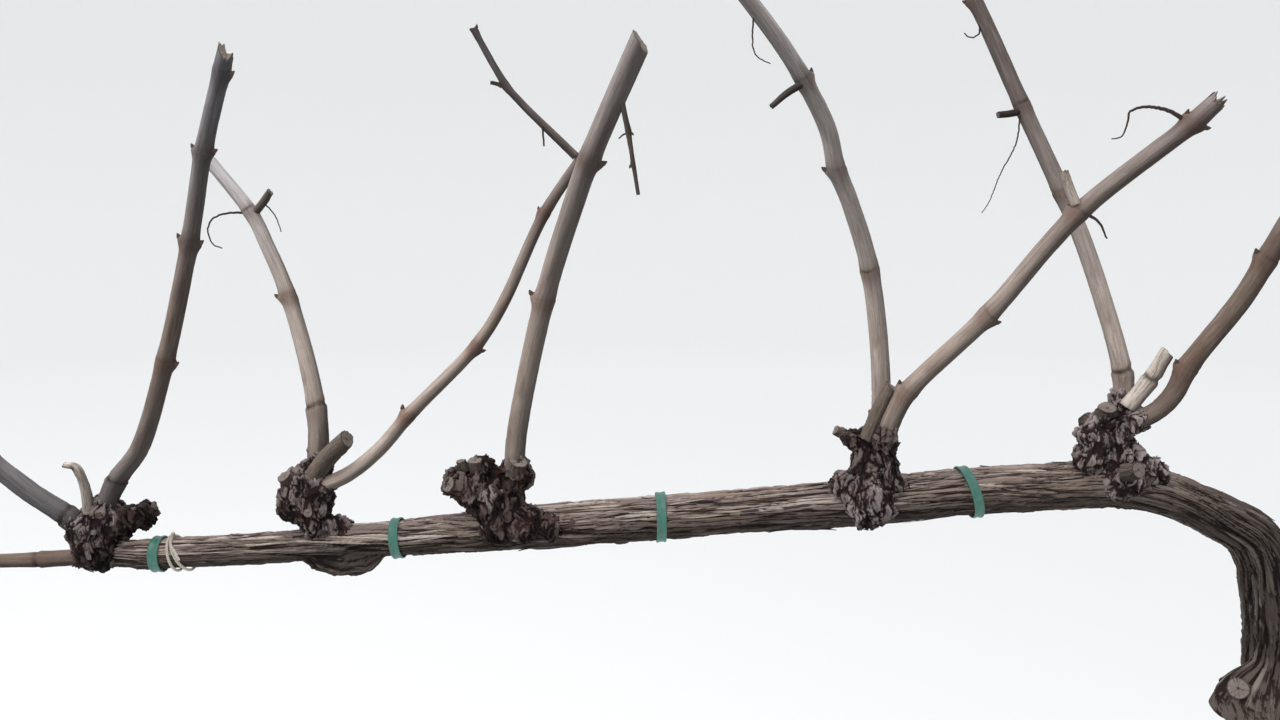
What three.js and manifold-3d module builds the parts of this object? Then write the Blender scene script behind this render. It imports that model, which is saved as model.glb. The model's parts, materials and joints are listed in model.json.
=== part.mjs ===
// A spur-pruned grapevine in winter: one trunk, one level cordon and the canes of five pruning heads.
// Millimetres, +Z up. The origin is the middle of the flat cut at ground level, and the cordon runs to -X.
import * as THREE from "three";
import { mergeVertices } from "three/addons/utils/BufferGeometryUtils.js";
import Module from "manifold-3d";

const wasm = await Module();
wasm.setup();

// Clearance left between solids that touch, and how far a face may move when slivers are merged away.
const GAP = 0.3;
const MERGE = 0.05;
// Faces round a stem, round a cane and round a thin side shoot.
const STEM_SIDES = 12;
const CANE_SIDES = 8;
const SHOOT_SIDES = 7;
const THIN_RADIUS = 5;
// How finely a burl and a pruning head are divided, and how deep their broad and fine bumps are.
const BURL_DETAIL = 2;
const HEAD_DETAIL = 4;
const BROAD_BUMP = 0.08;
const FINE_BUMP = 0.05;
// Longest step between two rings of a stem and of a cane, and the shortest one of either.
const STEM_STEP = 44;
const CANE_STEP = 34;
const LEAST_STEP = 2;
// How finely a run's smooth line is measured between two of its places.
const LINE_DIVISIONS = 40;
// A joint on a cane swells by this share of the radius, over this length to each side.
const JOINT_SWELL = 0.16;
const JOINT_REACH = 8;
// How far the stem is drawn below the ground before it is cut flat there.
const FOOT_DEPTH = 12;

// A run is a chain of steps: [length, lean to +X from upright, turn towards -Y, last], with angles in degrees.
// On the stem, last is the radius where the step ends. On a cane it marks a swollen joint there.
const JOINT = 1;
const PLAIN = 0;
const STEM = {
  foot: [0, 0, -FOOT_DEPTH],
  footRadius: 41,
  trunk: [
    [45, 0, 0, 31],
    [87, -1, 4, 26],
    [130, -2, 2, 24.5],
    [130, -1, -3, 23.5],
    [80, 0, -4, 24.5],
    [60, 0, -2, 24.5],
    [44, -4, 0, 22.8],
    [30, -12, 0, 21.5],
  ],
  cordon: [
    [21, -16, 0, 20.5],
    [26, -34, 0, 19.5],
    [27, -61, 0, 18.5],
    [39, -67, 0, 17.6],
    [27, -73, 2, 18.2],
    [36, -84, -3, 18.5],
    [52, -93, 0, 18.8],
    [59, -92, 2, 19],
    [58, -96, 1, 19],
    [98, -95, -2, 17.5],
    [115, -94, 1, 18],
    [83, -94, 3, 17.5],
    [74, -95, -3, 15.8],
    [58, -96, -2, 14],
    [108, -94, 2, 12.6],
    [84, -92, 2, 12.2],
    [34, -90, 0, 9.5],
  ],
};

// The burls of the stem: an old wound on the trunk and a low swelling under the cordon.
const STEM_BURLS = [
  { on: "trunk", at: [-33, -8, 498], radii: [22, 20, 27] },
  { on: "cordon", at: [-784, -4, 609], radii: [40, 11, 12] },
];

// Canes, spurs and shoots: where the foot stands, the radii at foot and tip, and the run between them.
const LIMBS = [
  {
    name: "cordon_tail", foot: [-991, 0, 616], radii: [6.4, 5.2],
    run: [[45, -94, 0, JOINT], [42, -92, 0, PLAIN], [48, -92, 0, JOINT]],
  },
  {
    name: "cane_1_low", foot: [-998, -6, 641], radii: [7.8, 6.6],
    run: [
      [15, -36, 16, JOINT], [32, -44, 18, PLAIN], [45, -38, 19, JOINT],
      [99, -39, 16, JOINT], [19, -35, 13, PLAIN],
    ],
  },
  {
    name: "cane_1_tall", foot: [-981, -2, 651], radii: [7.3, 5.7],
    run: [
      [34, 27, 7, JOINT], [35, 39, 6, PLAIN], [80, 23, 9, JOINT], [99, 19, 10, JOINT],
      [71, 17, 12, JOINT], [60, 21, 12, JOINT], [13, 21, 13, PLAIN],
    ],
  },
  {
    name: "dead_spur_1", foot: [-986, -12, 656], radii: [4.4, 2.4],
    run: [[24, -2, 8, PLAIN], [16, -17, 12, JOINT], [8, -74, 7, PLAIN]],
  },
  {
    name: "cane_2_pale", foot: [-805, 4, 687], radii: [7.8, 5.1],
    run: [
      [52, -1, -4, JOINT], [94, -15, -9, JOINT], [46, -23, -7, PLAIN],
      [30, -28, -10, JOINT], [55, -40, -10, PLAIN],
    ],
  },
  {
    name: "stub_2", foot: [-806, -8, 683], radii: [7.6, 7],
    run: [[27, 39, 13, PLAIN], [22, 48, 15, PLAIN]],
  },
  {
    name: "cane_2_long", foot: [-802, -6, 675], radii: [6.4, 4.2],
    run: [
      [29, 65, 4, PLAIN], [31, 51, -4, PLAIN], [36, 41, -6, JOINT], [78, 44, -11, JOINT],
      [39, 33, -6, PLAIN], [83, 25, -6, JOINT], [59, 34, -3, PLAIN],
    ],
  },
  {
    name: "lateral_2", foot: [-593, 27, 942], radii: [3.6, 2.6],
    run: [[60, -46, 6, PLAIN], [19, -41, 7, JOINT], [49, -30, 4, JOINT]],
  },
  {
    name: "side_stub_2", foot: [-859, 32, 896], radii: [3.4, 3],
    run: [[15, 46, 16, PLAIN], [10, 41, 17, PLAIN]],
  },
  {
    name: "cane_3", foot: [-644, -2, 684], radii: [8.4, 7.8],
    run: [
      [38, 6, 3, PLAIN], [112, 13, 10, JOINT], [81, 19, 19, PLAIN],
      [37, 22, 22, JOINT], [90, 26, 22, PLAIN],
    ],
  },
  {
    name: "lateral_3", foot: [-554, -84, 973], radii: [2.2, 1.4],
    run: [[24, 169, -5, JOINT], [23, 170, -5, JOINT], [20, 171, -5, PLAIN]],
  },
  {
    name: "cane_4_left", foot: [-342, 11, 719], radii: [8.2, 5.4],
    run: [
      [59, -3, 1, PLAIN], [75, -10, 8, JOINT], [59, -21, 14, PLAIN], [28, -27, 17, JOINT], [32, -18, 18, PLAIN],
      [42, -32, 20, JOINT], [30, -37, 19, PLAIN], [58, -42, 18, JOINT], [25, -40, 19, PLAIN],
    ],
  },
  {
    name: "stub_4", foot: [-357, -8, 715], radii: [7.2, 6.7],
    run: [[26, 17, 9, PLAIN], [21, 23, 11, PLAIN]],
  },
  {
    name: "lateral_4", foot: [-419, -48, 990], radii: [3.3, 2.2],
    run: [[19, -122, 18, PLAIN], [16, -131, 23, PLAIN]],
  },
  {
    name: "cane_4_right", foot: [-346, -14, 711], radii: [7.6, 6.3],
    run: [
      [27, 13, 13, PLAIN], [23, 25, 13, JOINT], [83, 41, 13, JOINT],
      [96, 35, 16, JOINT], [93, 46, 19, JOINT], [18, 41, 20, PLAIN],
    ],
  },
  {
    name: "side_stub_4", foot: [-228, -74, 899], radii: [4, 3.4],
    run: [[12, -16, -19, PLAIN], [14, -14, -16, PLAIN]],
  },
  {
    name: "cane_5_left", foot: [-142, 14, 737], radii: [7.6, 5.6],
    run: [
      [30, -4, -4, JOINT], [112, -17, -6, PLAIN], [44, -24, -5, JOINT], [78, -25, -6, JOINT],
      [73, -24, -6, PLAIN], [24, -25, -7, JOINT], [30, -22, -6, PLAIN],
    ],
  },
  {
    name: "side_stub_5", foot: [-230, 38, 979], radii: [3, 2.6],
    run: [[12, -102, 20, PLAIN], [9, -97, 18, PLAIN]],
  },
  {
    name: "stub_5", foot: [-150, -8, 741], radii: [6.6, 5.7],
    run: [[28, 32, 8, PLAIN], [24, 25, 10, PLAIN]],
  },
  {
    name: "cane_5_right", foot: [-151, -12, 728], radii: [8, 6.8],
    run: [
      [24, 58, 15, PLAIN], [19, 32, 18, PLAIN], [22, 15, 16, JOINT],
      [64, 25, 20, PLAIN], [33, 19, 17, JOINT], [69, 16, 19, PLAIN],
    ],
  },
];

// Each pruning head is a cluster of callused knobs: [dx, dy, dz, radius] from its centre.
const HEADS = [
  {
    name: "head_1", at: [-985, 0, 638],
    knobs: [
      [0, 0, 0, 22], [-12, -6, 4, 14], [6, -3, 14, 16],
      [24, -3, 8, 13], [36, -2, 13, 13], [1, -4, -12, 20],
    ],
  },
  {
    name: "head_2", at: [-815, 0, 663],
    knobs: [
      [1, 0, 0, 21], [-7, -3, 8, 16], [6, -3, 20, 15],
      [9, 0, -18, 16], [-7, -4, -5, 14], [28, 2, -25, 12],
    ],
  },
  {
    name: "head_3", at: [-656, 0, 663],
    knobs: [
      [0, -2, 0, 22], [-20, -2, 6, 16], [-30, -4, 14, 16], [-13, -3, 28, 12], [12, -2, 20, 17],
      [2, -8, -17, 19], [23, -11, -17, 17], [42, -9, -19, 15], [56, -7, -20, 12],
    ],
  },
  {
    name: "head_4", at: [-355, 0, 676],
    knobs: [
      [2, -5, -2, 26], [0, -10, -14, 20], [-17, -4, -3, 17], [17, -4, -5, 16],
      [4, 0, 32, 19], [5, -2, 18, 20], [-14, -3, 37, 9], [-22, -3, 43, 6],
    ],
  },
  {
    name: "head_5", at: [-159, 0, 721],
    knobs: [
      [0, 0, 0, 19], [-11, -2, -5, 15], [12, -2, 12, 15], [12, -2, -22, 18],
      [32, -5, -34, 14], [10, -4, -38, 20], [-6, 0, -42, 14],
    ],
  },
];

// Flat tie bands round the cordon and one turn of twine, by place along X and lean from upright in degrees.
const TIES = [
  { x: -936, lean: 0 },
  { x: -741, lean: 0 },
  { x: -524, lean: 3 },
  { x: -271, lean: -12 },
];
const TIE = { width: 8, thickness: 1.2 };
const TWINE = { x: -920, lean: -18, width: 3, thickness: 2 };

const bark = (color, roughness) => new THREE.MeshStandardMaterial({ color, roughness, metalness: 0 });
const MATERIALS = {
  stem: bark("#6b5c50", 0.95),
  head: bark("#4c423c", 0.97),
  cane: bark("#9a8673", 0.8),
  deadWood: bark("#8f8177", 0.9),
  tie: bark("#2f7f68", 0.5),
  twine: bark("#c9bda4", 0.9),
};

const radians = THREE.MathUtils.degToRad;

// The places along a run, each one step on from the last.
function walk(foot, run) {
  const places = [new THREE.Vector3(...foot)];
  for (const [length, lean, turn] of run) {
    const flat = length * Math.cos(radians(turn));
    const step = new THREE.Vector3(
      flat * Math.sin(radians(lean)),
      -length * Math.sin(radians(turn)),
      flat * Math.cos(radians(lean)),
    );
    places.push(places.at(-1).clone().add(step));
  }
  return places;
}

// A smooth line through the places of a run, with the length along it at each place.
function lineOf(foot, run) {
  const places = walk(foot, run);
  const curve = new THREE.CatmullRomCurve3(places, false, "centripetal");
  curve.arcLengthDivisions = (places.length - 1) * LINE_DIVISIONS;
  const lengths = curve.getLengths();
  const marks = places.map((_, i) => lengths[i * LINE_DIVISIONS]);
  return { curve, marks, length: lengths.at(-1) };
}

// Stations from one length to another, with the given marks kept and no step over the longest.
function stations(from, to, marks, longest) {
  const kept = [from, ...marks.filter((m) => m > from + LEAST_STEP && m < to - LEAST_STEP), to];
  const out = [from];
  for (let i = 1; i < kept.length; i++) {
    const parts = Math.ceil((kept[i] - kept[i - 1]) / longest);
    for (let k = 1; k <= parts; k++) out.push(kept[i - 1] + ((kept[i] - kept[i - 1]) * k) / parts);
  }
  return out;
}

// A round body turned on a lathe and then bent along the line: its lathe height becomes length along the line.
function bent(line, at, radius, sides) {
  const profile = [new THREE.Vector2(0, at[0])];
  for (const s of at) profile.push(new THREE.Vector2(radius(s), s));
  profile.push(new THREE.Vector2(0, at.at(-1)));
  const geometry = new THREE.LatheGeometry(profile, sides);
  const place = geometry.getAttribute("position");
  const across = new THREE.Vector3();
  const side = new THREE.Vector3();
  for (let i = 0; i < place.count; i++) {
    const u = THREE.MathUtils.clamp(place.getY(i) / line.length, 0, 1);
    const over = place.getY(i) - u * line.length;
    const along = line.curve.getTangentAt(u);
    across.set(0, 1, 0).addScaledVector(along, -along.y).normalize();
    side.crossVectors(across, along);
    const p = line.curve.getPointAt(u).addScaledVector(along, over);
    p.addScaledVector(across, place.getX(i)).addScaledVector(side, place.getZ(i));
    place.setXYZ(i, p.x, p.y, p.z);
  }
  return geometry;
}

// A closed geometry as a solid that can be joined and cut.
function solid(geometry) {
  const bare = new THREE.BufferGeometry().setAttribute("position", geometry.getAttribute("position"));
  if (geometry.index) bare.setIndex(geometry.index);
  const merged = mergeVertices(bare, 1e-3);
  return new wasm.Manifold(
    new wasm.Mesh({
      numProp: 3,
      vertProperties: merged.getAttribute("position").array,
      triVerts: new Uint32Array(merged.index.array),
    }),
  );
}

// The largest body of a solid, as a mesh of the scene.
function meshOf(name, body, material) {
  const largest = body.simplify(MERGE).decompose().sort((a, b) => b.volume() - a.volume())[0];
  const { vertProperties, triVerts } = largest.getMesh();
  const geometry = new THREE.BufferGeometry();
  geometry.setAttribute("position", new THREE.BufferAttribute(new Float32Array(vertProperties), 3));
  geometry.setIndex(new THREE.BufferAttribute(new Uint32Array(triVerts), 1));
  geometry.computeVertexNormals();
  const mesh = new THREE.Mesh(geometry, material);
  mesh.name = name;
  return mesh;
}

// The unevenness of callused wood towards n. It follows the place too, so no two swellings are alike.
function bump(n, [x, y, z]) {
  const broad = Math.sin(5 * n.x + x) * Math.sin(4 * n.y + z);
  const fine = Math.sin(7 * n.z + y + x);
  return 1 + BROAD_BUMP * broad + FINE_BUMP * fine;
}

// A burl: an uneven ball, grown all round by a clearance.
function burl(at, radii, grow) {
  const geometry = new THREE.IcosahedronGeometry(1, BURL_DETAIL);
  const place = geometry.getAttribute("position");
  const n = new THREE.Vector3();
  for (let i = 0; i < place.count; i++) {
    n.fromBufferAttribute(place, i);
    const swell = bump(n, at);
    const [x, y, z] = n.toArray().map((part, axis) => at[axis] + part * (radii[axis] * swell + grow));
    place.setXYZ(i, x, y, z);
  }
  return solid(geometry);
}

// A pruning head: seen from its centre, its skin lies as far out as the farthest of its knobs that way.
function headBody({ at, knobs }) {
  const geometry = new THREE.IcosahedronGeometry(1, HEAD_DETAIL);
  const place = geometry.getAttribute("position");
  const n = new THREE.Vector3();
  const middle = new THREE.Vector3();
  for (let i = 0; i < place.count; i++) {
    n.fromBufferAttribute(place, i).normalize();
    const reach = knobs.map(([dx, dy, dz, r]) => {
      const along = n.dot(middle.set(dx, dy, dz));
      const left = along ** 2 + r ** 2 - middle.lengthSq();
      return left > 0 ? along + Math.sqrt(left) : 0;
    });
    n.multiplyScalar(Math.max(...reach) * bump(n, at));
    place.setXYZ(i, at[0] + n.x, at[1] + n.y, at[2] + n.z);
  }
  return solid(geometry);
}

// The stem's own line and radius, shared by the trunk, the cordon and the bands round it.
const stemRun = [...STEM.trunk, ...STEM.cordon];
const stemLine = lineOf(STEM.foot, stemRun);
const stemRadii = [STEM.footRadius, ...stemRun.map((row) => row[3])];
const trunkTop = stemLine.marks[STEM.trunk.length];

function stemRadius(s) {
  const i = Math.max(1, stemLine.marks.findIndex((m) => m >= s));
  const [a, b] = [stemLine.marks[i - 1], stemLine.marks[i]];
  return THREE.MathUtils.lerp(stemRadii[i - 1], stemRadii[i], THREE.MathUtils.smoothstep(s, a, b));
}

// One stretch of the stem with its own burls, grown all round by a clearance.
function stemStretch(on, from, to, grow) {
  const at = stations(from - grow, to + grow, stemLine.marks, STEM_STEP);
  const radius = (s) => stemRadius(THREE.MathUtils.clamp(s, from, to)) + grow;
  const burls = STEM_BURLS.filter((one) => one.on === on).map((one) => burl(one.at, one.radii, grow));
  return burls.reduce((body, one) => body.add(one), solid(bent(stemLine, at, radius, STEM_SIDES)));
}

// One cane, stub or side shoot, tapering from foot to tip and swollen at its joints, grown by a clearance.
function limbBody({ foot, radii, run }, grow) {
  const line = lineOf(foot, run);
  const joints = line.marks.filter((_, i) => i > 0 && run[i - 1][3] === JOINT);
  const thin = radii[0] < THIN_RADIUS;
  const near = thin ? [] : joints.flatMap((m) => [m - JOINT_REACH, m + JOINT_REACH]);
  const marks = [...line.marks, ...near].sort((a, b) => a - b);
  const radius = (s) => {
    const swell = joints.reduce((sum, m) => sum + JOINT_SWELL * Math.exp(-(((s - m) / JOINT_REACH) ** 2)), 1);
    const share = THREE.MathUtils.clamp(s / line.length, 0, 1);
    return THREE.MathUtils.lerp(radii[0], radii[1], share) * swell + grow;
  };
  const at = stations(-grow, line.length + grow, marks, CANE_STEP);
  return solid(bent(line, at, radius, thin ? SHOOT_SIDES : CANE_SIDES));
}

// How far along the stem, from 0 at the foot to 1 at the tip, the cordon passes a place along X.
function shareAt(x) {
  let [low, high] = [trunkTop / stemLine.length, 1];
  while (high - low > 1e-5) {
    const middle = (low + high) / 2;
    if (stemLine.curve.getPointAt(middle).x > x) low = middle;
    else high = middle;
  }
  return low;
}

// A band round the cordon, turned to its lean and cut clear of the grown cordon.
function bandBody({ x, lean }, { width, thickness }, grownCordon) {
  const u = shareAt(x);
  const at = [u * stemLine.length - width / 2, u * stemLine.length + width / 2];
  const slack = 1 / Math.cos(radians(lean));
  const ring = bent(stemLine, at, (s) => stemRadius(s) * slack + GAP + thickness, STEM_SIDES);
  const middle = stemLine.curve.getPointAt(u).toArray();
  return solid(ring)
    .translate(middle.map((v) => -v))
    .rotate([0, lean, 0])
    .translate(middle)
    .subtract(grownCordon);
}

// Spurs and stubs are dead wood, and the other limbs are canes.
const woodOf = (name) => (/stub|dead/.test(name) ? MATERIALS.deadWood : MATERIALS.cane);

// The stem comes first, then each limb, cut clear of those before it, and then the heads round their feet.
function buildVine() {
  const vine = new THREE.Group();
  const trunk = stemStretch("trunk", 0, trunkTop - GAP, 0).trimByPlane([0, 0, 1], 0);
  const cordon = stemStretch("cordon", trunkTop, stemLine.length, 0);
  vine.add(meshOf("trunk", trunk, MATERIALS.stem), meshOf("cordon", cordon, MATERIALS.stem));
  const grownCordon = stemStretch("cordon", trunkTop, stemLine.length, GAP);
  const grown = [grownCordon];
  const cutClear = (body) => grown.reduce((rest, other) => rest.subtract(other), body);
  for (const limb of LIMBS) {
    vine.add(meshOf(limb.name, cutClear(limbBody(limb, 0)), woodOf(limb.name)));
    grown.push(limbBody(limb, GAP));
  }
  for (const head of HEADS) vine.add(meshOf(head.name, cutClear(headBody(head)), MATERIALS.head));
  TIES.forEach((place, i) => {
    vine.add(meshOf(`tie_${i + 1}`, bandBody(place, TIE, grownCordon), MATERIALS.tie));
  });
  vine.add(meshOf("twine", bandBody(TWINE, TWINE, grownCordon), MATERIALS.twine));
  return vine;
}

export default buildVine();
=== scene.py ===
"""A pruned grapevine in winter, with its trunk, cordon, callused heads, canes, tendrils and ties.

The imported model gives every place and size. Lengths here are millimetres until a mesh is made.
"""

import json
import math
from typing import NamedTuple

import bpy
import numpy as np
from bpy.props import FloatProperty, FloatVectorProperty, IntProperty, PointerProperty
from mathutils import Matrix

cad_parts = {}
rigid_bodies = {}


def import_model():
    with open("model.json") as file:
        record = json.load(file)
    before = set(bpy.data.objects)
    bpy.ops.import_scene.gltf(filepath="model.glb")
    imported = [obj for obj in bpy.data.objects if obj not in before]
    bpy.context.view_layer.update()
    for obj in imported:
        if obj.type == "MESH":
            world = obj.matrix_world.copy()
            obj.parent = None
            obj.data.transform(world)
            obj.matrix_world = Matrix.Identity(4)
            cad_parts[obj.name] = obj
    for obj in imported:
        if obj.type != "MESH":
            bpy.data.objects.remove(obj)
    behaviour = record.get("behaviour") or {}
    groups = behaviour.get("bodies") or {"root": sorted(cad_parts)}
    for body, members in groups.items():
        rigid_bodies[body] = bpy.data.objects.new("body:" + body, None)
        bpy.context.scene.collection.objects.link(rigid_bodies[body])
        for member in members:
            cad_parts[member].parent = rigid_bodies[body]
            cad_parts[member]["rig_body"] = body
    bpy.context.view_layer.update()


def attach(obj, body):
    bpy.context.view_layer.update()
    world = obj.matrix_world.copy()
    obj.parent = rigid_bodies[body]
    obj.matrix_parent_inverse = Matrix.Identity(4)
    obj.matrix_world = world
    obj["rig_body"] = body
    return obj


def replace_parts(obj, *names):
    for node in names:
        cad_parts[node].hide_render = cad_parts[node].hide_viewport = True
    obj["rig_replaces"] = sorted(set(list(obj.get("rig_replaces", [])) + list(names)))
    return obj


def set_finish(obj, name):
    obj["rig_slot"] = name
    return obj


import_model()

bl_info = {
    "name": "Pruned grapevine",
    "version": (1, 0, 0),
    "blender": (4, 5, 0),
    "location": "3D View > Sidebar > Grapevine",
    "description": "Grows the bark, canes and ties of a winter grapevine round its packed model",
    "category": "Add Mesh",
}

MM = 0.001

# The middle line of the stem: each step has a length, a lean from upright towards +X, a turn
# towards -Y and, at its end, the stem's radius.
STEM_FOOT = (0, 0, -12)
STEM_FOOT_RADIUS = 41
GROUND_AT = 12
TRUNK_RUN = [
    (45, 0, 0, 31), (87, -1, 4, 26), (130, -2, 2, 24.5), (130, -1, -3, 23.5), (80, 0, -4, 24.5),
    (60, 0, -2, 24.5), (44, -4, 0, 22.8), (30, -12, 0, 21.5),
]
CORDON_RUN = [
    (21, -16, 0, 20.5), (26, -34, 0, 19.5), (27, -61, 0, 18.5), (39, -67, 0, 17.6),
    (27, -73, 2, 18.2), (36, -84, -3, 18.5), (52, -93, 0, 18.8), (59, -92, 2, 19),
    (58, -96, 1, 19), (98, -95, -2, 17.5), (115, -94, 1, 18), (83, -94, 3, 17.5),
    (74, -95, -3, 15.8), (58, -96, -2, 14), (108, -94, 2, 12.6), (84, -92, 2, 12.2),
    (34, -90, 0, 9.5),
]


class Burl(NamedTuple):
    """A swelling of the stem where an old wound has healed, and how much painted shade it takes."""

    middle: tuple
    radii: tuple
    shade: float


# The radius that the stem's grain is measured at, so that its strips run on over every swelling.
STEM_GIRTH = 22
# The height below which no shreds hang.
BARE_FOOT = 75
BURLS = [Burl((-38, -10, 499), (27, 22, 30), 0.3), Burl((-784, -4, 611), (36, 10, 10), 0.75)]

# The joint that may end a limb's step: one with no bud, or with buds on one side or both.
RING, LEFT, RIGHT, BOTH = 1, 2, 3, 4
# The angles round the limb at which each kind of joint has its buds.
BUD_ANGLES = {RING: [], LEFT: [-math.pi / 2], RIGHT: [math.pi / 2], BOTH: [-math.pi / 2, math.pi / 2]}


class Limb(NamedTuple):
    """A cane, lateral, spur or stub: its steps each have a length, a lean, a turn and maybe a joint.

    Its shades, at the foot and the tip, go from 0 for pale bark to 1 for brown
    and 2 for nearly black.
    """

    finish: str
    shades: tuple
    foot: tuple
    radii: tuple
    slant: float
    ragged: float
    run: list

    def radius(self, share):
        """The radius at a share of the length."""
        return self.radii[0] + (self.radii[1] - self.radii[0]) * share


LIMBS = {
    "cordon_tail": Limb("cane", (1.3, 1.3), (-991, 0, 616), (6.4, 5.2), 0, 0.3, [
        (45, -94, 0, RING), (42, -92, 0), (48, -92, 0, RING),
    ]),
    "cane_1_low": Limb("cane", (0.6, 0.6), (-998, -6, 641), (7.8, 6.6), -0.1, 0.3, [
        (15, -36, 16, RING), (32, -44, 18), (45, -38, 19, RIGHT), (99, -39, 16, LEFT), (19, -35, 13),
    ]),
    "cane_1_tall": Limb("cane", (0.9, 0.8), (-981, -2, 651), (7.3, 5.7), 0.3, 3.4, [
        (34, 27, 7, RING), (35, 39, 6), (80, 23, 9, RIGHT), (99, 19, 10, BOTH), (71, 17, 12, BOTH),
        (60, 21, 12, RIGHT), (13, 21, 13),
    ]),
    "dead_spur_1": Limb("dead", (0.4, 0.0), (-986, -12, 656), (4.4, 2.4), 0.2, 0.5, [
        (24, -2, 8), (16, -17, 12, RING), (8, -74, 7),
    ]),
    "cane_2_pale": Limb("cane", (0.3, 0.1), (-805, 4, 687), (7.8, 5.1), -0.25, 0.4, [
        (52, -1, -4, RING), (94, -15, -9, LEFT), (46, -23, -7), (30, -28, -10, RING), (55, -40, -10),
    ]),
    "stub_2": Limb("dead", (1.0, 1.2), (-806, -8, 683), (7.6, 7), 0.35, 0.6, [
        (27, 39, 13), (22, 48, 15),
    ]),
    "cane_2_long": Limb("cane", (0.4, 0.9), (-802, -6, 675), (6.4, 4.2), 0.1, 0.3, [
        (29, 65, 4), (31, 51, -4), (36, 41, -6, LEFT), (78, 44, -11, RIGHT), (39, 33, -6),
        (83, 25, -6, LEFT), (59, 34, -3),
    ]),
    "lateral_2": Limb("cane", (1.2, 1.4), (-593, 27, 942), (3.6, 2.6), 0.2, 0.4, [
        (60, -46, 6), (19, -41, 7, LEFT), (49, -30, 4, RIGHT),
    ]),
    "side_stub_2": Limb("dead", (1.0, 1.0), (-859, 32, 896), (3.4, 3), 0.2, 0.4, [
        (15, 46, 16), (10, 41, 17),
    ]),
    "cane_3": Limb("cane", (0.45, 0.7), (-644, -2, 684), (8.4, 7.8), 0.62, 0.5, [
        (38, 6, 3), (112, 13, 10, LEFT), (81, 19, 19), (37, 22, 22, RIGHT), (90, 26, 22),
    ]),
    "lateral_3": Limb("cane", (1.4, 1.6), (-554, -84, 973), (2.2, 1.4), 0, 0.2, [
        (24, 169, -5, LEFT), (23, 170, -5, RIGHT), (20, 171, -5),
    ]),
    "cane_4_left": Limb("cane", (0.2, 0.0), (-342, 11, 719), (8.2, 5.4), 0.1, 0.3, [
        (59, -3, 1), (75, -10, 8, RING), (59, -21, 14), (28, -27, 17, LEFT), (32, -18, 18),
        (42, -32, 20, RIGHT), (30, -37, 19), (58, -42, 18, LEFT), (25, -40, 19),
    ]),
    "stub_4": Limb("dead", (1.1, 1.0), (-357, -8, 715), (7.2, 6.7), 0.3, 0.8, [
        (26, 17, 9), (21, 23, 11),
    ]),
    "lateral_4": Limb("cane", (1.8, 1.9), (-419, -48, 990), (3.3, 2.2), 0, 0.3, [
        (19, -122, 18), (16, -131, 23),
    ]),
    "cane_4_right": Limb("cane", (0.55, 0.85), (-346, -14, 711), (7.6, 6.3), -0.2, 4.6, [
        (27, 13, 13), (23, 25, 13, LEFT), (83, 41, 13, RIGHT), (96, 35, 16, LEFT), (93, 46, 19, BOTH),
        (18, 41, 20),
    ]),
    "side_stub_4": Limb("mossy", (0.6, 0.6), (-228, -74, 899), (4, 3.4), 0.2, 1.2, [
        (12, -16, -19), (14, -14, -16),
    ]),
    "cane_5_left": Limb("cane", (0.05, 1.15), (-142, 14, 737), (7.6, 5.6), 0.1, 0.3, [
        (30, -4, -4, RING), (112, -17, -6), (44, -24, -5, RIGHT), (78, -25, -6, RING), (73, -24, -6),
        (24, -25, -7, LEFT), (30, -22, -6),
    ]),
    "side_stub_5": Limb("dead", (1.9, 1.9), (-230, 38, 979), (3, 2.6), 0, 0.3, [
        (12, -102, 20), (9, -97, 18),
    ]),
    "stub_5": Limb("dead", (0.2, 0.2), (-150, -8, 741), (6.6, 5.7), 0.35, 0.5, [
        (28, 32, 8, RING), (24, 25, 10),
    ]),
    "cane_5_right": Limb("cane", (1.05, 1.1), (-151, -12, 728), (8, 6.8), 0.1, 0.3, [
        (24, 58, 15), (19, 32, 18), (22, 15, 16, LEFT), (64, 25, 20), (33, 19, 17, LEFT), (69, 16, 19),
    ]),
}


class Head(NamedTuple):
    """A callused pruning head: knobs and hollows as offset and radius, stumps as below.

    A stump has its offset, its radius and length, and the lean and turn of its cut face.
    Weathering and shade, at the foot and the top, goes from 0 for dark bark to 1 for grey, so that a head is
    lighter or darker towards its top.
    Each dark patch is a painted shadow, with its offset, its radius and how much it takes from the
    weathering and shade.
    """

    weathering: tuple
    patches: list
    middle: tuple
    knobs: list
    hollows: list
    stumps: list


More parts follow.
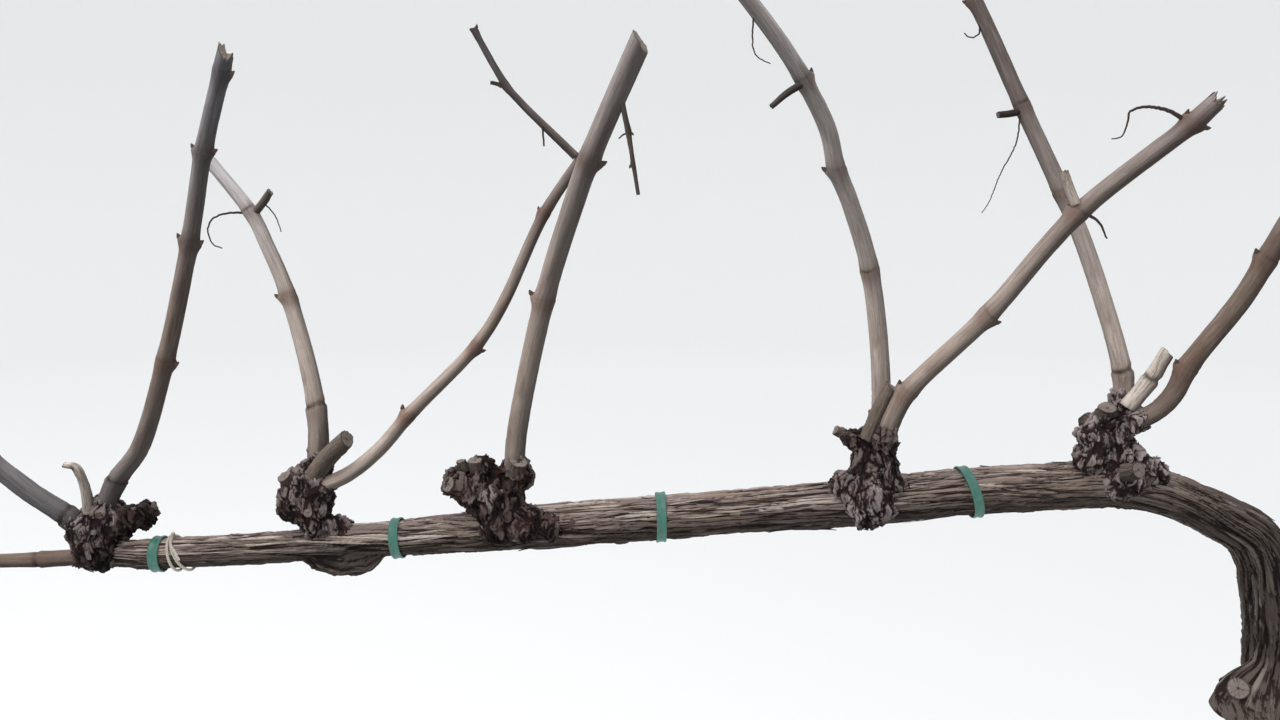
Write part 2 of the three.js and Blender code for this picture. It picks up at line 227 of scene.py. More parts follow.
HEADS = {
    "head_1": Head((0.0, 0.9), [(36, -2, 12, 22, 1.7), (0, -14, -24, 18, 0.7)], (-985, 0, 638), [
        (0, 0, 0, 22), (-12, -6, 4, 14), (6, -3, 14, 16), (24, -3, 8, 13), (36, -2, 13, 13),
        (1, -4, -12, 20),
    ], [(12, -24, -2, 7), (22, -16, -12, 8), (-14, 20, 12, 8), (22, -12, 24, 6)], [
        (-2, 14, 10, 7, 12, -20, -50), (40, 2, 14, 6, 7, 60, -30),
    ]),
    "head_2": Head((0.7, 0.9), [(-14, -16, -12, 13, 0.8)], (-815, 0, 663), [
        (1, 0, 0, 21), (-7, -3, 8, 16), (6, -3, 20, 15), (9, 0, -18, 16), (-7, -4, -5, 14),
        (28, 2, -25, 12),
    ], [(22, -14, 2, 8), (-2, -24, -6, 6), (-20, -6, 18, 6), (10, 20, 8, 9)], [
        (-8, -8, 16, 6, 9, -30, 30), (8, -15, -7, 3.6, 5, 10, 70), (-4, 12, 10, 7, 13, -30, -60),
    ]),
    "head_3": Head((-0.1, 0.3), [(8, -16, 16, 13, 1.0), (-18, -18, -10, 13, 0.9)], (-656, 0, 663), [
        (0, -2, 0, 22), (-20, -2, 6, 16), (-30, -4, 14, 16), (-13, -3, 28, 12), (12, -2, 20, 17),
        (2, -8, -17, 19), (23, -11, -17, 17), (42, -9, -19, 15), (56, -7, -20, 12),
    ], [(10, -20, 20, 9), (-4, -18, 22, 6), (-14, -26, -4, 7), (12, -30, -12, 6), (36, -26, -10, 6)], [
        (-33, -10, 14, 6.5, 9, -58, 46), (15, -8, 22, 8, 13, 10, 16), (-16, -6, 24, 6, 12, -10, 20),
        (-26, -6, 26, 4, 9, -22, 12), (-10, 12, 12, 8, 14, -20, -50),
    ]),
    "head_4": Head((1.2, 0.4), [(4, -8, 40, 15, 0.7), (0, -18, -30, 14, 0.8)], (-355, 0, 676), [
        (2, -5, -2, 26), (0, -10, -14, 20), (-17, -4, -3, 17), (17, -4, -5, 16), (4, 0, 32, 19),
        (5, -2, 18, 20), (-14, -3, 37, 9), (-22, -3, 43, 6),
    ], [(22, -20, -8, 8), (0, -24, 22, 7), (-26, -10, 22, 8), (-14, -30, -20, 6), (16, 22, 16, 8)], [
        (-16, -3, 40, 4.2, 14, -62, 14), (2, 14, 14, 8, 13, 10, -55),
    ]),
    "head_5": Head((1.1, 1.2), [(2, -16, 10, 9, 0.8)], (-159, 0, 721), [
        (0, 0, 0, 19), (-11, -2, -5, 15), (12, -2, 12, 15), (12, -2, -22, 18), (32, -5, -34, 14),
        (10, -4, -38, 20), (-6, 0, -42, 14), (-15, -2, -22, 15),
    ], [(30, -8, -12, 9), (-8, -18, 8, 6), (2, -22, -14, 6), (6, 20, -10, 8)], [
        (6, -17, -32, 6.5, 14, 34, 60), (-7, -8, 15, 7.5, 6, -14, 26),
        (-6, 12, 0, 7, 12, -40, -50),
    ]),
}


# A knot on the trunk's burl: its foot, radius, length, and the lean and turn of its face.
TRUNK_KNOT = (-52, -21, 511, 8.5, 7.5, -56, 49)


class Strand(NamedTuple):
    """A tendril or twiglet: the limb and length that it leaves from, its side and its steps."""

    limb: str
    length: float
    side: float
    radii: tuple
    run: list


# A side is an angle round the limb, in degrees: 90 is the limb's right in the photograph.
STRANDS = [
    Strand("cane_2_pale", 226, -80, (1.1, 0.5), [
        (14, -93, 4), (12, -108, 6), (9, -146, 3), (7, 178, 0), (8, 156, 0), (8, 112, 0),
    ]),
    Strand("side_stub_2", 14, 110, (0.7, 0.4), [(10, 135, 8), (9, 152, 4), (8, 165, 0)]),
    Strand("cane_4_left", 356, -100, (0.8, 0.4), [(18, -178, 5), (10, 165, 0), (12, 118, -4)]),
    Strand("cane_4_right", 319, -95, (1.9, 0.4), [
        (10, -62, 6), (9, -70, 4), (14, -86, 2), (9, -112, 0), (7, -172, 0), (10, -158, 0), (7, -105, 0),
    ]),
    Strand("cane_4_right", 233, 120, (1.3, 0.6), [(9, 125, 10), (14, 150, 0)]),
    Strand("cane_5_left", 260, -120, (0.8, 0.35), [
        (26, -171, 8), (27, -154, 2), (25, -160, -2), (10, -148, 0),
    ]),
    Strand("cane_5_left", 342, -100, (0.9, 0.5), [(11, -176, 6), (8, -104, 0), (5, -50, 0)]),
    Strand("lateral_2", 79, -90, (2.0, 1.5), [(7, -75, 0), (4, -80, 5)]),
    Strand("lateral_2", 38, 170, (1.0, 0.7), [(9, 172, 10), (10, 176, 0)]),
    Strand("lateral_3", 24, -90, (0.8, 0.5), [(4, -110, 0), (4, -130, 0)]),
]


class Tie(NamedTuple):
    """A flat tie round the cordon: its place along X and its lean from upright in degrees."""

    place: float
    lean: float


TIES = [Tie(-936, 0), Tie(-741, 0), Tie(-524, 3), Tie(-271, -12)]
TIE_WIDTH, TIE_THICKNESS, TIE_CLEARANCE = 8, 1.2, 1.5
TWINE_PLACE = -920
# How far the middle of the twine runs from the cordon, and the lay of its plies round that middle.
TWINE_CLEARANCE, PLIES, PLY_OFFSET, PLY_RADIUS, PLY_TURNS = 1.9, 3, 0.55, 0.68, 11
# Each loop of the twine: its start and end angle, its lean, and its place along the cordon.
TWINE_LOOPS = [(-60, 470, -12, 3.2), (20, 540, -26, -2.4)]


def linear(text):
    """A colour written as six hexadecimal digits, in the linear values that Blender mixes."""
    parts = [int(text[i : i + 2], 16) / 255 for i in (0, 2, 4)]
    return [p / 12.92 if p <= 0.04045 else ((p + 0.055) / 1.055) ** 2.4 for p in parts]


def unit(vectors):
    """The same vectors with a length of one."""
    return vectors / np.linalg.norm(vectors, axis=-1, keepdims=True)


def smooth_step(share):
    """An even rise from 0 to 1 that starts and ends level."""
    share = np.clip(share, 0, 1)
    return share * share * (3 - 2 * share)


def hump(away, width, power=2):
    """A smooth hump that is 1 where away is 0 and fades over a width on both sides."""
    return np.exp(-((away / width) ** power))


def circle(sides):
    """Even angles round a circle."""
    return np.linspace(0, 2 * np.pi, sides, endpoint=False)


# The way to the open sky, where the light comes from: bark that turns from it gets painted shade.
SKY = (-0.42, -0.25, 0.87)


def heading(lean, turn):
    """The direction that a lean from upright and a turn towards -Y give."""
    lean, turn = math.radians(lean), math.radians(turn)
    return np.array(
        [math.cos(turn) * math.sin(lean), -math.sin(turn), math.cos(turn) * math.cos(lean)]
    )


class Line:
    """The smooth middle line of a limb through the places of its run."""

    PARTS = 60

    def __init__(self, foot, run):
        places = [np.array(foot, float)]
        for length, lean, turn, *_ in run:
            places.append(places[-1] + length * heading(lean, turn))
        ends = [2 * places[0] - places[1], *places, 2 * places[-1] - places[-2]]
        t = np.arange(self.PARTS)[:, None] / self.PARTS
        spans = []
        for a, b, c, d in zip(ends, ends[1:], ends[2:], ends[3:]):
            before, here, after = (
                math.sqrt(np.linalg.norm(q - p)) for p, q in ((a, b), (b, c), (c, d))
            )
            leave = ((b - a) / before - (c - a) / (before + here) + (c - b) / here) * here
            reach = ((c - b) / here - (d - b) / (here + after) + (d - c) / after) * here
            spans.append(
                (2 * t**3 - 3 * t**2 + 1) * b
                + (t**3 - 2 * t**2 + t) * leave
                + (3 * t**2 - 2 * t**3) * c
                + (t**3 - t**2) * reach
            )
        self.spots = np.concatenate([*spans, places[-1:]])
        steps = np.linalg.norm(np.diff(self.spots, axis=0), axis=1)
        self.lengths = np.concatenate([[0], np.cumsum(steps)])
        self.marks = self.lengths[:: self.PARTS]
        self.length = self.lengths[-1]
        self.headings = unit(np.gradient(self.spots, self.lengths, axis=0))

    def at(self, length, angle=0.0):
        """The place, the heading and the outward direction at each length and angle round it."""
        length = np.asarray(length, float)
        inside = np.clip(length, 0, self.length)
        place, along = (
            np.stack([np.interp(inside, self.lengths, column) for column in table.T], -1)
            for table in (self.spots, self.headings)
        )
        along = unit(along)
        across = unit(np.array([0.0, 1.0, 0.0]) - along * along[..., 1:2])
        angle = np.asarray(angle)[..., None]
        out = np.cos(angle) * across + np.sin(angle) * np.cross(across, along)
        return place + (length - inside)[..., None] * along, along, out


STEM = Line(STEM_FOOT, TRUNK_RUN + CORDON_RUN)
TRUNK_TOP = STEM.marks[len(TRUNK_RUN)]
STEM_RADII = [STEM_FOOT_RADIUS] + [step[3] for step in TRUNK_RUN + CORDON_RUN]
LINES = {name: Line(limb.foot, limb.run) for name, limb in LIMBS.items()}


def stem_radius(length):
    """The stem's radius at each length, without its burls."""
    mark = np.clip(np.searchsorted(STEM.marks, length, side="right") - 1, 0, len(STEM_RADII) - 2)
    radii = np.array(STEM_RADII, float)
    share = smooth_step((length - STEM.marks[mark]) / (STEM.marks[mark + 1] - STEM.marks[mark]))
    return radii[mark] + (radii[mark + 1] - radii[mark]) * share


def stem_length_at(x):
    """The length along the cordon where its middle passes a place along X."""
    cordon = STEM.lengths > TRUNK_TOP
    return float(np.interp(-x, -STEM.spots[cordon, 0], STEM.lengths[cordon]))


def joints_of(limb, line):
    """The lengths of a limb's joints and what each carries."""
    return [(mark, *step[3:]) for mark, step in zip(line.marks[1:], limb.run) if step[3:]]


# The expressions of the node trees


class Value:
    """A node's output that adds, subtracts, multiplies and divides as a number does."""

    def __init__(self, graph, socket):
        self.graph, self.socket = graph, socket

    def __add__(self, other):
        return self.graph.maths("ADD", self, other)

    def __sub__(self, other):
        return self.graph.maths("SUBTRACT", self, other)

    def __mul__(self, other):
        return self.graph.maths("MULTIPLY", self, other)

    def __truediv__(self, other):
        return self.graph.maths("DIVIDE", self, other)

    def __rsub__(self, other):
        return self.graph.maths("SUBTRACT", other, self)

    def __rtruediv__(self, other):
        return self.graph.maths("DIVIDE", other, self)

    __radd__, __rmul__ = __add__, __mul__


# The fields of a mesh that hold vectors.
VECTOR_FIELDS = {"grain", "out", "along"}


class Graph:
    """A node tree that is built from Python expressions."""

    def __init__(self, tree):
        self.tree, self.geometry = tree, None

    def node(self, kind, settings=None, inputs=None, out=0):
        """Adds a node: its settings first, then the value or link of each socket."""
        node = self.tree.nodes.new(kind)
        for key, setting in (settings or {}).items():
            setattr(node, key, setting)
        for key, given in (inputs or {}).items():
            if isinstance(given, Value):
                self.tree.links.new(given.socket, node.inputs[key])
            else:
                node.inputs[key].default_value = given
        return Value(self, node.outputs[out]) if node.outputs else node

    def maths(self, operation, *values):
        """A Math node, or a Vector Math node where any value is a vector."""
        vector = any(
            isinstance(v, tuple) or (isinstance(v, Value) and v.socket.type in {"VECTOR", "RGBA"})
            for v in values
        )
        if vector:
            values = [v if isinstance(v, (Value, tuple)) else (v, v, v) for v in values]
        kind = "ShaderNodeVectorMath" if vector else "ShaderNodeMath"
        out = "Value" if operation in {"DOT_PRODUCT", "LENGTH", "DISTANCE"} else 0
        return self.node(kind, {"operation": operation}, dict(enumerate(values)), out)

    def mix(self, share, first, second):
        """A blend of two colours."""
        first, second = (c if isinstance(c, Value) else (*c, 1) for c in (first, second))
        inputs = {0: share, 6: first, 7: second}
        return self.node("ShaderNodeMix", {"data_type": "RGBA"}, inputs, 2)

    def rise(self, value, low, high, to_low=0.0, to_high=1.0):
        """An even rise as the value goes from low to high, and level outside."""
        inputs = {0: value, 1: low, 2: high, 3: to_low, 4: to_high}
        return self.node("ShaderNodeMapRange", {"interpolation_type": "SMOOTHSTEP"}, inputs)

    def over(self, colour, *layers):
        """The colour under layers, each a tint that shows as a value rises, and maybe its share."""
        for tint, value, low, high, *share in layers:
            colour = self.mix(self.rise(value, low, high, 0.0, *share), colour, tint)
        return colour

    def noise(self, place, detail=2.0, out=0, rough=0.5):
        """Soft noise at a place, from 0 to 1, or as a colour."""
        inputs = {"Vector": place, "Scale": 1.0, "Detail": detail, "Roughness": rough}
        return self.node("ShaderNodeTexNoise", None, inputs, out)

    def cells(self, place, feature="F1", out=0):
        """The cell pattern at a place: its distance, its colour or its middle."""
        inputs = {"Vector": place, "Scale": 1.0, "Randomness": 1.0}
        return self.node("ShaderNodeTexVoronoi", {"feature": feature}, inputs, out)

    def drift(self, place, detail=2.0):
        """Soft noise at a place as a vector, with parts between -0.5 and 0.5."""
        return self.noise(place, detail, out="Color") - 0.5

    def plates(self, place, level, slope, gap):
        """Plates in the cells at a place: their tilted heights, their gaps and their tints."""
        tint = self.cells(place, out="Color") - 0.5
        tilt = self.maths("DOT_PRODUCT", place - self.cells(place, out="Position"), tint)
        gaps = 1 - self.rise(self.cells(place, "DISTANCE_TO_EDGE"), 0.0, gap)
        return self.part(tint, 0) * level + tilt * slope, gaps, tint

    def part(self, vector, axis):
        """One component of a vector."""
        return self.node("ShaderNodeSeparateXYZ", None, {0: vector}, axis)

    def join(self, x, y, z):
        """A vector of three values."""
        return self.node("ShaderNodeCombineXYZ", None, {0: x, 1: y, 2: z})

    def attribute(self, name):
        """A value stored on the mesh."""
        vector = name in VECTOR_FIELDS
        if self.tree.bl_idname == "ShaderNodeTree":
            settings = {"attribute_name": name}
            return self.node("ShaderNodeAttribute", settings, None, "Vector" if vector else "Fac")
        settings = {"data_type": "FLOAT_VECTOR" if vector else "FLOAT"}
        return self.node("GeometryNodeInputNamedAttribute", settings, {"Name": name})

    def attributes(self, names):
        """Several values stored on the mesh."""
        return [self.attribute(name) for name in names.split()]

    def change(self, kind, settings=None, inputs=None):
        """Passes the geometry through one more node, which takes it as its first input."""
        inputs = {0: self.geometry, **(inputs or {})}
        self.geometry = self.node("GeometryNode" + kind, settings, inputs)

    def store(self, **values):
        """Stores values on the points of the geometry."""
        for name, value in values.items():
            data_type = "FLOAT_VECTOR" if name in VECTOR_FIELDS else "FLOAT"
            settings = {"data_type": data_type, "domain": "POINT"}
            self.change("StoreNamedAttribute", settings, {"Name": name, "Value": value})

    def random(self, low, high, seed):
        """A different number for each point."""
        inputs = {2: low, 3: high, "Seed": seed}
        return self.node("FunctionNodeRandomValue", {"data_type": "FLOAT"}, inputs, 1)

    def lift(self, height):
        """Moves the points of the geometry along their normals by a height in mm."""
        offset = self.node("GeometryNodeInputNormal") * (height * MM)
        self.change("SetPosition", None, {"Offset": offset})

    def copy(self, piece, size, wobble=None):
        """Sets a copy of a small object on each point, turned out from its surface and along it."""
        turn = self.node(
            "FunctionNodeAxesToRotation", {"primary_axis": "Z", "secondary_axis": "X"},
            {"Primary Axis": self.attribute("out"), "Secondary Axis": self.attribute("along")},
        )
        if wobble:
            wobble = self.node("FunctionNodeEulerToRotation", None, {0: wobble})
            settings = {"rotation_space": "LOCAL"}
            turn = self.node("FunctionNodeRotateRotation", settings, {0: turn, 1: wobble})
        shape = self.node("GeometryNodeObjectInfo", None, {"Object": piece}, "Geometry")
        inputs = {"Instance": shape, "Rotation": turn, "Scale": size}
        self.change("InstanceOnPoints", None, inputs)

    def finish(self, material):
        """Ends a geometry tree in plain, smooth, painted faces."""
        self.change("RealizeInstances")
        self.change("SetShadeSmooth")
        self.change("SetMaterial", None, {"Material": material})
        self.tree.links.new(self.geometry.socket, self.tree.nodes.new("NodeGroupOutput").inputs[0])
        return self.tree


def geometry_graph(name, floats="", **others):
    """A geometry tree and the values of its named inputs: numbers, others and a material."""
    tree = bpy.data.node_groups.new(name, "GeometryNodeTree")
    tree.interface.new_socket("Geometry", in_out="OUTPUT", socket_type="NodeSocketGeometry")
    sockets = {"geometry": "Geometry", **dict.fromkeys(floats.split(), "Float"), **others}
    sockets["material"] = "Material"
    for label, kind in sockets.items():
        title = label.replace("_", " ").capitalize()
        tree.interface.new_socket(title, in_out="INPUT", socket_type="NodeSocket" + kind)
    graph = Graph(tree)
    entry = tree.nodes.new("NodeGroupInput")
    graph.geometry, *values = (Value(graph, socket) for socket in entry.outputs[: len(sockets)])
    return graph, *values


def grow(host, tree, look=None, **inputs):
    """Turns a piece into the mesh that a geometry tree makes, with given inputs and a look's."""
    modifier = host.modifiers.new("growth", "NODES")
    modifier.node_group = tree
    for item in tree.interface.items_tree:
        key = item.name.lower().replace(" ", "_")
        if item.in_out == "INPUT" and key != "geometry":
            modifier[item.identifier] = inputs[key] if key in inputs else getattr(look, key)
    depsgraph = bpy.context.evaluated_depsgraph_get()
    mesh = bpy.data.meshes.new_from_object(
        host.evaluated_get(depsgraph), preserve_all_data_layers=True, depsgraph=depsgraph
    )
    host.modifiers.remove(modifier)
    host.data = mesh
    mesh.name = host.name
    return host


def mesh_piece(name, points, faces, edges=(), **fields):
    """A new mesh object from points in mm, with its fields stored on the points."""
    mesh = bpy.data.meshes.new(name)
    points = np.asarray(points, float) * MM
    mesh.from_pydata(points.tolist(), list(edges), faces)
    for key, values in fields.items():
        vector = np.ndim(values) == 2
        attribute = mesh.attributes.new(key, "FLOAT_VECTOR" if vector else "FLOAT", "POINT")
        flat = np.asarray(values, np.float32).ravel()
        attribute.data.foreach_set("vector" if vector else "value", flat)
    piece = bpy.data.objects.new(name, mesh)
    bpy.context.scene.collection.objects.link(piece)
    return piece


def keep(piece, slot, *nodes):
    """Hands a finished piece to the frame: it rides on the root and may stand for CAD nodes."""
    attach(piece, "root")
    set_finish(piece, slot)
    if nodes:
        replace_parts(piece, *nodes)


# Shared shapes

# Rows of a cut face from its rim to its middle: share of the radius, and rise.
CUT_ROWS = [(0.97, 0.45), (0.9, 0.7), (0.72, 0.62), (0.5, 0.45), (0.3, 0.25), (0.16, 0.1), (0.1, -0.8)]
FLAT_ROWS = [(0.7, 0.0), (0.35, 0.0)]
# The length over which a slanted or ragged cut bends the rows before it.
TIP_LENGTH = 16
# How close the rows stand at a joint, and how far round it.
JOINT_STEP, JOINT_REACH = 0.7, 9
# How far the grain turns round the stem and round a limb, in radians for each mm.
STEM_TWIST, LIMB_TWIST = 0.0025, 0.002


def grain_turn(length, twist):
    """How far the grain has turned round a limb at each length."""
    return twist * length + 0.3 * np.sin(length / 110)


class Form(NamedTuple):
    """The points of a closed tube, its faces and the fields stored on its points."""

    points: np.ndarray
    faces: list
    fields: dict


def rings(rows, sides, first=0, flip=False, wrap=False):
    """The faces between rows of points that go round, from the first point on."""
    faces = []
    for k in range(rows if wrap else rows - 1):
        here, above = first + sides * k, first + sides * ((k + 1) % rows)
        for i in range(sides):
            j = (i + 1) % sides
            quad = (here + i, above + i, above + j, here + j)
            faces.append(quad[:1] + quad[:0:-1] if flip else quad)
    return faces


def tube(line, lengths, sides, radius, girth, twist, slant=0.0, ragged=0.0, cut=True, seed=0):
    """A closed tube along a line, from its foot to its cut tip."""
    angles = circle(sides)
    rows = [(lengths[0], share, 0, 1) for share, _ in reversed(FLAT_ROWS)]
    rows += [(length, 1, 0, 0) for length in lengths]
    rows += [(lengths[-1], share, rise, 1) for share, rise in (CUT_ROWS if cut else FLAT_ROWS)]
    base, shares, rises, capped = np.array(rows, float).T[..., None]
    radii = radius(base, angles) * shares
    rng = np.random.default_rng(seed)
    jag = sum(
        rng.uniform(0.4, 1) / k**0.4 * np.sin(k * angles + rng.uniform(0, 7)) for k in (1, 2, 3, 5, 8, 13)
    )
    shift = ragged * jag * shares**2 - slant * radii * np.sin(angles)
    reach = base + rises + smooth_step((base - lengths[-1]) / TIP_LENGTH + 1) * shift
    place, along, out = line.at(reach, angles)
    turn = angles + grain_turn(base, twist)
    grain = [girth * shares * np.cos(turn), girth * shares * np.sin(turn), reach]

    def ended(values):
        """The values of the rows, with those of the first and last point again at both ends."""
        values = np.broadcast_to(values, (len(base), sides, *values.shape[2:]))
        values = values.reshape(-1, *values.shape[2:])
        return np.concatenate([values[:1], values, values[-1:]])

    points, grain, core = ended(place + radii[..., None] * out), ended(np.stack(grain, -1)), ended(shares)
    points[[0, -1]] = line.at([lengths[0], reach[-1].mean()])[0]
    grain[[0, -1], :2] = 0
    core[[0, -1]] = 0
    end, out, along = ended(capped), ended(out), ended(along)
    # How far each point faces the sky, for its painted shade; a cut face looks along the limb.
    facing = (out * (1 - end)[:, None] + along * end[:, None]) @ np.array(SKY)
    last = len(points) - 1
    foot_fan = [(0, 1 + i, 1 + (i + 1) % sides) for i in range(sides)]
    tip_fan = [(last, last - sides + (i + 1) % sides, last - sides + i) for i in range(sides)]
    return Form(points, rings(len(base), sides, 1) + foot_fan + tip_fan, {
        "grain": grain, "out": out, "along": along, "cut": end, "core": core,
        "length": ended(base), "damp": 1 - smooth_step((facing + 0.35) / 1.3),
    })


def spread(start, end, step, marks=()):
    """Lengths from start to end, a step apart and closer round the marks."""
    fine = np.linspace(start, end, 3000)
    crowd = np.full_like(fine, 1 / step)
    for mark in marks:
        crowd = np.maximum(crowd, hump(fine - mark, JOINT_REACH) / JOINT_STEP)
    total = np.concatenate([[0], np.cumsum((crowd[1:] + crowd[:-1]) / 2 * np.diff(fine))])
    return np.interp(np.linspace(0, total[-1], int(total[-1]) + 2), total, fine)


def joined(name, forms):
    """One mesh object from several closed forms."""
    faces, start = [], 0
    for form in forms:
        faces += [tuple(i + start for i in face) for face in form.faces]
        start += len(form.points)
    fields = {key: np.concatenate([form.fields[key] for form in forms]) for key in forms[0].fields}
    return mesh_piece(name, np.concatenate([form.points for form in forms]), faces, **fields)


def bark_tree():
    """Raises strips, fissures and fibres along the grain of a limb."""
    graph, depth, fissure, fibre, flute, width, length, seed, material = geometry_graph(
        "Bark relief", "depth fissure fibre flute strip_width strip_length seed"
    )
    grain = graph.attribute("grain") + graph.join(seed, seed * 1.7, seed * 11)
    wavy = grain + graph.drift(grain * (0.03, 0.03, 0.009)) * (16.0, 16.0, 0.0)
    strips = []
    for finer, weight in ((1.0, 1.0), (2.3, 0.55)):
        place = wavy * graph.join(finer / width, finer / width, finer / length)
        raised, gaps, tint = graph.plates(place, 1.0, 1.6, 0.13)
        strips.append((raised * depth * weight, fissure * weight * gaps, tint))
    (raised, sunk, tint), (finer_raised, finer_sunk, finer_tint) = strips
    fine = graph.noise(wavy * graph.join(3.2 / width, 3.2 / width, 1.6 / length), 3.0) - 0.5
    ridge = graph.noise(grain * (0.07, 0.07, 0.004), 1.0) - 0.5
    height = raised + finer_raised - sunk - finer_sunk + fibre * fine * 2
    graph.store(
        relief=height / (depth + fissure), tone=graph.part(tint, 1) + 0.5,
        thread=graph.part(finer_tint, 2) + 0.5,
    )
    graph.lift((height + flute * ridge * 3) * graph.attribute("age") * (1 - graph.attribute("cut")))
    return graph.finish(material)


def scatter_tree():
    """Scatters small realized pieces over a barky surface, lifted and turned along its grain."""
    graph, density, small, large, yaw, tilt, piece, seed, material = geometry_graph(
        "Loose pieces", "density small large yaw tilt", piece="Object", seed="Int"
    )
    wood = graph.node(
        "FunctionNodeCompare", {"data_type": "FLOAT", "operation": "LESS_THAN"},
        {0: graph.attribute("cut") + graph.attribute("calm"), 1: 0.5},
    )
    inputs = {"Selection": wood, "Density": density, "Seed": seed}
    graph.change("DistributePointsOnFaces", {"distribute_method": "RANDOM"}, inputs)
    wobble = graph.join(
        graph.random(-1.0, 1.0, 12) * tilt,
        graph.random(-1.0, 0.2, 13) * tilt,
        graph.random(-1.0, 1.0, 14) * yaw + graph.maths("ROUND", graph.random(0.0, 1.0, 11)) * math.pi,
    )
    sizes = [graph.random(0.0, 1.0, 20 + i) * (large - small) + small for i in range(3)]
    graph.copy(piece, graph.join(sizes[0] * (1 - graph.attribute("bent")), *sizes[1:]), wobble)
    return graph.finish(material)


def strand_tree():
    """Sweeps a round strand along each line of edges, as thick as its points say."""
    graph, sides, material = geometry_graph("Strands", sides="Int")
    ring = graph.node("GeometryNodeCurvePrimitiveCircle", None, {"Resolution": sides, "Radius": MM})
    inputs = {"Profile Curve": ring, "Scale": graph.attribute("thick"), "Fill Caps": True}
    graph.change("MeshToCurve")
    graph.change("CurveToMesh", None, inputs)
    return graph.finish(material)


def bud_tree():
    """Sets one bud on each point, out from its cane and up along it."""
    graph, piece, material = geometry_graph("Buds", piece="Object")
    wide, long, deep = graph.random(0.8, 1.2, 3), graph.random(0.8, 1.15, 4), graph.random(0.75, 1.3, 5)
    graph.copy(piece, graph.attribute("size") * graph.join(wide, long, deep))
    return graph.finish(material)


# How softly the lumps of a head run into one another, and its hollows into them.
KNOB_BLEND, COLLAR_BLEND, HOLLOW_BLEND = 5.0, 4.0, 3.0


def head_tree(name, middle, lumps, hollows, patches, low, high, voxel):
    """Grows one callused head: blended knobs, worn into plates and cracks."""
    graph, plate, lift, crack, grit, seed, foot, top, material = geometry_graph(
        "Callused " + name, "plate lift crack grit seed foot top"
    )
    place = graph.node("GeometryNodeInputPosition") * 1000
    local = place + seed * 37
    gnarl = graph.drift(local * 0.055) * 13
    knotted = place + gnarl + graph.drift(local * 0.19, 1.0) * 2.4
    skin = None
    for *centre, radius, blend in lumps:
        reach = graph.maths("DISTANCE", knotted, tuple(centre)) - radius
        skin = graph.maths("SMOOTH_MIN", skin, reach, blend) if skin else reach
    for *centre, radius in hollows:
        hollow = radius - graph.maths("DISTANCE", knotted, tuple(centre))
        skin = graph.maths("SMOOTH_MAX", skin, hollow, HOLLOW_BLEND)
    counts = [max(8, int((h - l) * MM / voxel)) for l, h in zip(low, high)]
    graph.geometry = graph.node("GeometryNodeVolumeCube", None, {
        "Density": 0 - skin, "Background": -9.0,
        "Min": tuple(v * MM for v in low), "Max": tuple(v * MM for v in high),
        **{"Resolution " + axis: count for axis, count in zip("XYZ", counts)},
    })
    graph.change("VolumeToMesh", None, {"Threshold": 0.0})
    graph.change("SubdivisionSurface", None, {"Level": 1})
    normal = graph.node("GeometryNodeInputNormal")
    away = graph.maths("NORMALIZE", place - tuple(float(v) for v in middle))
    # Weathering and shade: lighter or darker towards the top by the head's two values, less in each painted
    # shadow patch.
    height = graph.rise(graph.part(place, 2), middle[2] - 30.0, middle[2] + 30.0)
    weathering = foot + (top - foot) * height
    for *centre, radius, amount in patches:
        reach = graph.maths("DISTANCE", place, tuple(centre))
        weathering = weathering - graph.rise(reach, radius * 0.6, radius, amount, 0.0)
    # Painted shade where the head faces away from the sky.
    facing = graph.maths("DOT_PRODUCT", normal, SKY)
    graph.store(
        out=graph.maths("NORMALIZE", normal + away * 0.5),
        along=graph.drift(local * 0.05, 0.0) * 2.4 + (0.0, 0.0, 1.0),
        cut=0.0, weathering=weathering, damp=graph.rise(facing, -0.6, 0.6, 1.0, 0.0),
    )
    heights = []
    for field, finer, weight in (("tone", 1.0, 0.85), ("thread", 2.6, 0.18)):
        flaky = (local + gnarl * 0.6) * (finer, finer, finer * 0.5) / plate
        raised, gaps, tint = graph.plates(flaky, 1.1, 2.6, 0.14)
        heights.append(raised * lift * weight - crack * weight * gaps)
        graph.store(**{field: graph.part(tint, 1) + 0.5})
    fold = graph.maths("ABSOLUTE", graph.noise((local + gnarl) * (0.09, 0.09, 0.05)) - 0.5)
    furrow = crack * 1.6 * graph.rise(fold, 0.0, 0.05, 1.0, 0.0)
    fine = graph.noise(local * (0.5, 0.5, 0.3), 3.0, rough=0.65) - 0.5
    fibres = graph.noise((local + gnarl * 1.4) * (0.42, 0.42, 0.07), 3.0, rough=0.6) - 0.5
    height = heights[0] + heights[1] - furrow + fibres * lift * 4.2 + grit * fine * 2.4
    graph.store(relief=height / (lift + crack))
    graph.lift(height)
    return graph.finish(material)


# Finishes


def painted(name, paint, shade_share):
    """A material from a function that gives its colour, roughness, relief, its depth and gloss.

    Painted shade: a surface that faces away from the sky is darkened by the given share.
    """
    material = bpy.data.materials.new(name)
    material.use_nodes = True
    material.node_tree.nodes.clear()
    graph = Graph(material.node_tree)
    colour, roughness, relief, depth, gloss = paint(graph)
    # Painted shade, stored on the mesh, darkens the colour.
    if shade_share:
        colour = colour * (1 - graph.attribute("damp") * shade_share)
    inputs = {"Base Color": colour, "Roughness": roughness, "Specular IOR Level": gloss}
    if relief is not None:
        bump = {"Strength": 1.0, "Distance": depth * MM, "Height": relief}
        inputs["Normal"] = graph.node("ShaderNodeBump", None, bump)
    shader = graph.node("ShaderNodeBsdfPrincipled", None, inputs)
    graph.node("ShaderNodeOutputMaterial", None, {"Surface": shader})
    return material


